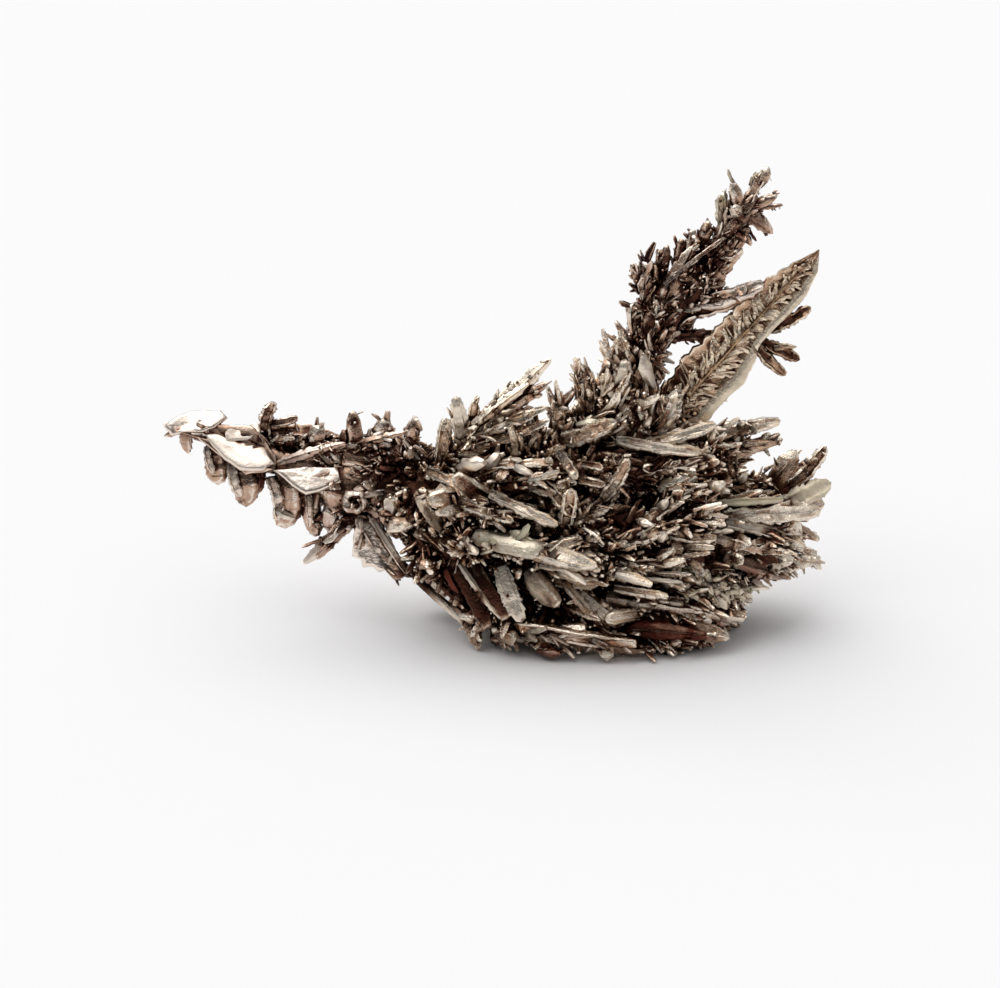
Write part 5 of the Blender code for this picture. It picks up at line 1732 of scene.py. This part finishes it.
class CrystalStageSettings(bpy.types.PropertyGroup):
    """The floor and the light."""

    floor_colour: FloatVectorProperty(
        name="Floor", description="Colour of the floor", subtype="COLOR", size=3,
        min=0.0, max=1.0, default=(0.9, 0.895, 0.9),
    )
    floor_size: FloatProperty(
        name="Floor size", description="Side of the floor", subtype="DISTANCE", unit="LENGTH",
        min=0.1, default=4.0,
    )
    key: FloatProperty(name="Key", description="Strength of the lamp above", min=0.0, default=1.66)
    sky: FloatProperty(name="Sky", description="Strength of the room's light", min=0.0, default=0.6)


# ---- pieces -------------------------------------------------------------------------------------

ROOM = (0.0009, 0.0003, 0.0006)  # how far past the CAD's box small crystals may reach, in metres


def box_with_room():
    """The space that small crystals may reach: the CAD's box and a little more."""
    low, high = (np.array(corner) for corner in CAD_BOX)
    low = low - ROOM
    low[2] = 0.0
    return tuple(low), tuple(high + ROOM)


# The matting's layers: shares of the set density, of the smallest and of the largest length, then
# how much the crystals rise from the surface and how much their directions vary.
MATTING_LAYERS = (
    (0.36, 2.0, 1.45, 0.2, 0.6),
    (0.6, 1.25, 0.98, 0.4, 0.8),
    (0.5, 0.8, 0.56, 0.8, 1.0),
)


def dress(name, node, heap, material, settings, skin=None, growths=()):
    """One piece: its crystals as fine meshes, matted with small ones, in the CAD node's place.

    Growths are other trees that add to it: each a tree and its inputs.
    """
    obj = place_in_scene(name, heap.mesh(name))
    for tree, values in growths:
        set_inputs(obj.modifiers.new("Growth", "NODES"), tree, Metal=material, **values)
    if skin is None:
        obj.data.materials.append(material)
    else:
        low, high = box_with_room()
        sprouts = collection_of("sprouts", sprout_shapes(), 900, SMALL_SHARP)
        for number, (density, smallest, largest, rise, spread) in enumerate(MATTING_LAYERS):
            values = {
                "Skin": skin,
                "Sprouts": sprouts,
                "Density": settings.density * density,
                "Smallest": settings.smallest * smallest,
                "Largest": settings.largest * largest,
                "Rise": rise,
                "Spread": spread,
                "Low corner": low,
                "High corner": high,
                "Seed": settings.seed + number,
                "Metal": material,
            }
            set_inputs(obj.modifiers.new("Matting", "NODES"), matting_tree(), **values)
        bake(obj)
        bpy.data.objects.remove(skin)
    for vert in obj.data.vertices:
        vert.co.z = max(vert.co.z, 0.0)
    obj.data.validate()
    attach(obj, BODY)
    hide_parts(node)


class CrystalOperator:
    """What all the operators share."""

    bl_options = {"REGISTER", "UNDO"}


class PieceOperator(CrystalOperator):
    """What the operators of the pieces share."""

    def execute(self, context):
        scene = context.scene
        self.build(scene.crystal_metal, scene.crystal_matting)
        return {"FINISHED"}


# Painted shade near the floor: coarse crystals low down are given the dark finish.
LOW_DOWN = 0.003  # Z in metres. The coarse crystals that end below it are dark.
RIBBON_ROOT = -0.0206  # X in metres. The ribbon's plates start to the left of it, almost bare.
RIBBON_MATTING = 0.04  # the share of the matting that they have


class CRYSTAL_OT_left_frond(PieceOperator, bpy.types.Operator):
    """Adds the flat frond on the left"""

    bl_idname = "crystal.left_frond"
    bl_label = "Left frond"

    def build(self, metal, matting):
        stems = left_frond_stems()
        crystals = stems + left_frond_crystals()
        crystals += cladding(stems, 22, (1.6, 3.4), (0.7, 1.3), (0.2, 1.4), seed=11)
        crystals += cladding(stems[:2], 60, (1.2, 2.4), (0.5, 1.0), (0.2, 1.2), seed=12)
        comb = stem((-33.6, 18.1, 2.3), (-25.2, 17.5, 1.8), 1.6, 1.2, BARE)
        crystals += cladding([comb], 44, (0.9, 1.9), (0.4, 0.8), (0.3, 1.6), seed=13)
        material = crystal_metal("frond metal", metal, (0.95, 0.9, 0.895), satin=0.3)
        heap = heap_of([item for item in crystals if item.habit is not PLATE], seed=100)
        for number, plate in enumerate(ribbon_plates()):
            slab(heap, *plate, seed=180 + number)
        centre = spot(-23.5, 11.8, -2.4)
        ring(heap, centre, radius=0.84 * GRID, tube=0.46 * GRID, finish=MAUVE, seed=199)
        skin = skin_of("left_frond", crystals, spot(-14.0, 12.0, 2.0), grain=0.62, under=0.36)
        hole, clear = spot(-23.5, 11.8, -1.7), 1.4 * GRID
        thin_matting(skin, lambda place: 0.0 if (place - hole).length < clear else 1.0)
        thin_matting(skin, lambda place: 1.0 if place.x >= RIBBON_ROOT else RIBBON_MATTING)
        dress("left_frond_metal", "left_frond", heap, material, matting, skin)


class CRYSTAL_OT_top_twig(PieceOperator, bpy.types.Operator):
    """Adds the twig on top"""

    bl_idname = "crystal.top_twig"
    bl_label = "Top twig"

    def build(self, metal, matting):
        stems = top_twig_stems()
        crystals = stems + top_twig_crystals()
        crystals += cladding(stems, 6, (1.2, 2.6), (0.5, 0.9), (0.3, 1.4), seed=5)
        material = crystal_metal("twig metal", metal, (1.03, 0.99, 0.94))
        skin = skin_of("top_twig", crystals, spot(-16.0, 14.0, 1.0), grain=0.46)
        heap = heap_of(crystals, seed=300)
        dress("top_twig_metal", "top_twig", heap, material, matting, skin)


class CRYSTAL_OT_spire(PieceOperator, bpy.types.Operator):
    """Adds the dark spire and its star"""

    bl_idname = "crystal.spire"
    bl_label = "Spire"

    def build(self, metal, matting):
        stems = spire_stems()
        crystals = stems + spire_crystals()
        crystals += cladding(stems, 22, (1.4, 3.0), (0.7, 1.2), (0.3, 1.6), seed=23)
        material = crystal_metal("spire metal", metal, (0.93, 0.88, 0.87))
        skin = skin_of("spire", crystals, spot(3.0, 18.0, 4.4), grain=0.66, under=0.38)
        heap = heap_of(crystals, seed=400)
        dress("spire_metal", "spire", heap, material, matting, skin)


BLADE_BARE_FROM = 0.16  # the share of the blade's midrib after which no matting grows


class CRYSTAL_OT_blade(PieceOperator, bpy.types.Operator):
    """Adds the fern-like blade"""

    bl_idname = "crystal.blade"
    bl_label = "Blade"

    def build(self, metal, matting):
        plates, thorns = blade_crystals()
        root = stem((4.6, 16.4, 2.2), (9.4, 21.4, 2.8), 3.2, 2.6)
        clad = cladding([root], 10, (1.4, 2.6), (0.6, 1.0), (0.2, 1.2), seed=31)
        material = crystal_metal("blade metal", metal, (1.0, 0.925, 0.825), satin=0.26)
        grown = blade_stems() + plates + thorns + clad
        skin = skin_of("blade", grown, spot(0.0, 12.0, 2.4), grain=0.5)
        plate = crystal(PLATE, *BLADE_MIDRIB, 5.0, 1.0, lean=-8)
        midrib = plate.tip - plate.foot
        bare_from = BLADE_BARE_FROM * midrib.length_squared
        thin_matting(skin, lambda place: (place - plate.foot).dot(midrib) <= bare_from)
        heap = heap_of(thorns + clad, seed=500)
        blade_plate(heap, plate, seed=560)
        across, through, along = plate.frame()
        rib = sprout(RIB, (0, 0, 0), (0, 0, 1), 1.0, 1.0)
        ribs = collection_of("ribs", {"rib %d" % number: [rib] for number in range(4)}, 950, SHARP)
        growths = []
        for side, reaches, out in (("left", BLADE_LEFT, across), ("right", BLADE_RIGHT, -across)):
            inputs = {
                "Midrib": midrib_points("midrib " + side, plate, reaches),
                "Ribs": ribs,
                "Along": tuple(along),
                "Out": tuple(out),
                "Facing": tuple(through),
                "Angle": 0.8,
                "Filled": 0.84,
                "Width": 0.4 * GRID,
                "Seed": 3,
            }
            growths.append((ribs_tree(), inputs))
        dress("blade_metal", "blade", heap, material, matting, skin, growths)
        for _, inputs in growths:
            bpy.data.objects.remove(inputs["Midrib"])


# The heart is dressed in pieces from west to east, each between these places of X, in metres.
HEART_BOUNDS = {
    "heart_west": (-1.0, -0.0045),
    "heart_middle": (-0.0045, 0.0045),
    "heart_east": (0.0045, 1.0),
}


class CRYSTAL_OT_heart(PieceOperator, bpy.types.Operator):
    """Adds the matted heart that the limbs grow from"""

    bl_idname = "crystal.heart"
    bl_label = "Heart"

    def build(self, metal, matting):
        masses = heart_masses()
        groups = heart_groups()
        clad = cladding(masses, 58, (4.5, 8.5), (1.8, 3.0), (0.0, 0.5), seed=43)
        clad += cladding(masses, 30, (2.8, 5.0), (1.0, 1.7), (0.5, 2.0), seed=47)
        # Painted shade near the floor.
        clad = [replace(item, finish=DARK) if item.tip.z < LOW_DOWN else item for item in clad]
        extra = cladding(masses[2:4], 130, (2.2, 4.4), (0.6, 1.2), (0.1, 0.7), seed=53)
        lump = crystal(LATH, (6.6, 5.8, -5.4), (14.6, 2.2, -5.6), 2.8, 1.2)
        yellow = cladding([lump], 46, (1.1, 2.0), (0.6, 1.1), (0.3, 1.2), seed=67)
        extra += [replace(item, finish=LEMON) for item in yellow]
        extra += cladding(masses[:1] + masses[4:], 110, (2.0, 4.0), (0.6, 1.1), (0.1, 0.8), seed=59)
        material = crystal_metal("heart metal", metal, (1.02, 0.98, 0.94), rub=0.8, relief=0.9)
        grown = masses + [item for group in groups.values() for item in group] + clad
        for number, (name, group) in enumerate(groups.items()):
            west, east = HEART_BOUNDS[name]
            skin = skin_of("heart", grown, Vector((0.0, 2.0, 6.0)) * GRID)
            thin_matting(skin, lambda place: west <= place.x < east)
            heap = heap_of(group + inside(extra, west, east), seed=600 + 100 * number)
            if name == "heart_middle":
                slab(heap, *bottom_plate(), seed=690)
            dress(name, "heart", heap, material, matting, skin)
        heap = heap_of(masses + clad, seed=900)
        dress("heart_core", "heart", heap, material, matting)


def inside(crystals, west, east):
    """The crystals with their feet between two places of X and their tips well inside the box."""
    low, high = box_with_room()
    return [
        item
        for item in crystals
        if west <= item.foot.x < east
        and all(
            least + 0.4 * item.width < place < most - 0.4 * item.width
            for least, place, most in zip(low, item.tip, high)
        )
    ]


PIECES = (
    "left_frond_metal", "top_twig_metal", "spire_metal", "blade_metal", "heart_west",
    "heart_middle", "heart_east", "heart_core",
)


class CRYSTAL_OT_gaps(CrystalOperator, bpy.types.Operator):
    """Marks how deep in a gap each face stands, for the metal's painted shade"""

    bl_idname = "crystal.gaps"
    bl_label = "Gaps"

    def execute(self, context):
        pieces = [context.scene.objects[name] for name in PIECES]
        mark_gaps(pieces, context.scene.crystal_matting.gap)
        return {"FINISHED"}


# ---- stage and camera ---------------------------------------------------------------------------


LENS = 122.4
SENSOR = 36.0  # both in millimetres
LAMP_ANGLE = math.radians(76.0)  # how large the lamp looks from the floor
LAMP_DIRECTION = (0.35, -0.25, -1.0)
# The room's light, which comes from all round and more from some sides: the share of a
# direction's part on an axis where it begins and where it is full, and how much it adds.
ROOM_LIGHT = 0.09
ROOM_LIGHTS = (
    ("Z", 1.0, 0.48, 0.86, 1.15), ("X", 1.0, 0.3, 0.9, 0.4), ("Y", 1.0, -0.1, 0.9, 0.55),
    ("X", -1.0, 0.1, 0.9, 0.35),
)


def stage_world(strength):
    world = bpy.data.worlds.new("room")
    world.use_nodes = True
    bpy.context.scene.world = world
    w = Wiring(world.node_tree)
    background = world.node_tree.nodes["Background"]
    way = w.add("ShaderNodeTexCoord").outputs["Generated"]
    parts = w.add("ShaderNodeSeparateXYZ", way).outputs
    light = ROOM_LIGHT
    for axis, sign, low, high, share in ROOM_LIGHTS:
        part = parts[axis] if sign > 0.0 else w.times(parts[axis], sign)
        light = w.plus(light, w.times(ramp(w, part, low, high), share))
    w.join(background.inputs["Color"], (1.0, 1.0, 1.0, 1.0))
    w.join(background.inputs["Strength"], w.times(light, strength))


class CRYSTAL_OT_stage(CrystalOperator, bpy.types.Operator):
    """Adds the pale floor, the soft light and the camera"""

    bl_idname = "crystal.stage"
    bl_label = "Stage"

    def execute(self, context):
        scene = context.scene
        settings = scene.crystal_stage
        bpy.ops.mesh.primitive_plane_add(size=settings.floor_size, location=(0.0, 0.0, 0.0))
        floor = context.object
        floor.name = "floor"
        material = bpy.data.materials.new("floor")
        material.use_nodes = True
        shader = material.node_tree.nodes["Principled BSDF"]
        shader.inputs["Base Color"].default_value = tuple(settings.floor_colour) + (1.0,)
        shader.inputs["Roughness"].default_value = 0.9
        shader.inputs["Specular IOR Level"].default_value = 0.0
        floor.data.materials.append(material)
        stage_world(settings.sky)
        lamp = bpy.data.lights.new("key", "SUN")
        lamp.energy = settings.key
        lamp.angle = LAMP_ANGLE
        key = place_in_scene("key", lamp)
        key.rotation_euler = Vector(LAMP_DIRECTION).to_track_quat("-Z", "Y").to_euler()
        sine, cosine = math.sin(DRAWING_TILT), math.cos(DRAWING_TILT)
        away = Vector((0.0, cosine, -sine))
        up = Vector((0.0, sine, cosine))
        middle = Vector((DRAWING_CENTRE[0], DRAWING_CENTRE[1] * sine, DRAWING_CENTRE[1] * cosine))
        lens = bpy.data.cameras.new("camera")
        lens.lens = LENS
        lens.sensor_width = SENSOR
        lens.clip_start = 0.001
        lens.clip_end = 20.0
        turn = Matrix((Vector((1.0, 0.0, 0.0)), up, -away)).transposed().to_4x4()
        turn.translation = (middle - away * DRAWING_REACH) * GRID
        camera = place_in_scene("camera", lens)
        camera.matrix_world = turn
        scene.camera = camera
        scene.view_settings.view_transform = "Standard"
        return {"FINISHED"}


class CRYSTAL_PT_parts(bpy.types.Panel):
    """Lists the crystal's parts and their settings"""

    bl_label = "Titanium crystal"
    bl_idname = "CRYSTAL_PT_parts"
    bl_space_type = "VIEW_3D"
    bl_region_type = "UI"
    bl_category = "Crystal"

    def draw(self, context):
        layout = self.layout
        for group in SETTINGS:
            box = layout.box()
            settings = getattr(context.scene, group)
            for name in settings.__annotations__:
                box.prop(settings, name)
        for operator in OPERATORS:
            layout.operator(operator.bl_idname)


SETTINGS = {
    "crystal_metal": CrystalMetalSettings,
    "crystal_matting": CrystalMattingSettings,
    "crystal_stage": CrystalStageSettings,
}
OPERATORS = (
    CRYSTAL_OT_stage,
    CRYSTAL_OT_left_frond,
    CRYSTAL_OT_top_twig,
    CRYSTAL_OT_spire,
    CRYSTAL_OT_blade,
    CRYSTAL_OT_heart,
    CRYSTAL_OT_gaps,
)


def register():
    for settings in SETTINGS.values():
        bpy.utils.register_class(settings)
    for operator in OPERATORS:
        bpy.utils.register_class(operator)
    bpy.utils.register_class(CRYSTAL_PT_parts)
    for name, settings in SETTINGS.items():
        setattr(bpy.types.Scene, name, PointerProperty(type=settings))


def unregister():
    for name in SETTINGS:
        delattr(bpy.types.Scene, name)
    bpy.utils.unregister_class(CRYSTAL_PT_parts)
    for kind in reversed((*SETTINGS.values(), *OPERATORS)):
        bpy.utils.unregister_class(kind)


def main():
    register()
    bpy.ops.crystal.stage()
    bpy.ops.crystal.left_frond()
    bpy.ops.crystal.top_twig()
    bpy.ops.crystal.spire()
    bpy.ops.crystal.blade()
    bpy.ops.crystal.heart()
    bpy.ops.crystal.gaps()


if __name__ == "__main__":
    main()
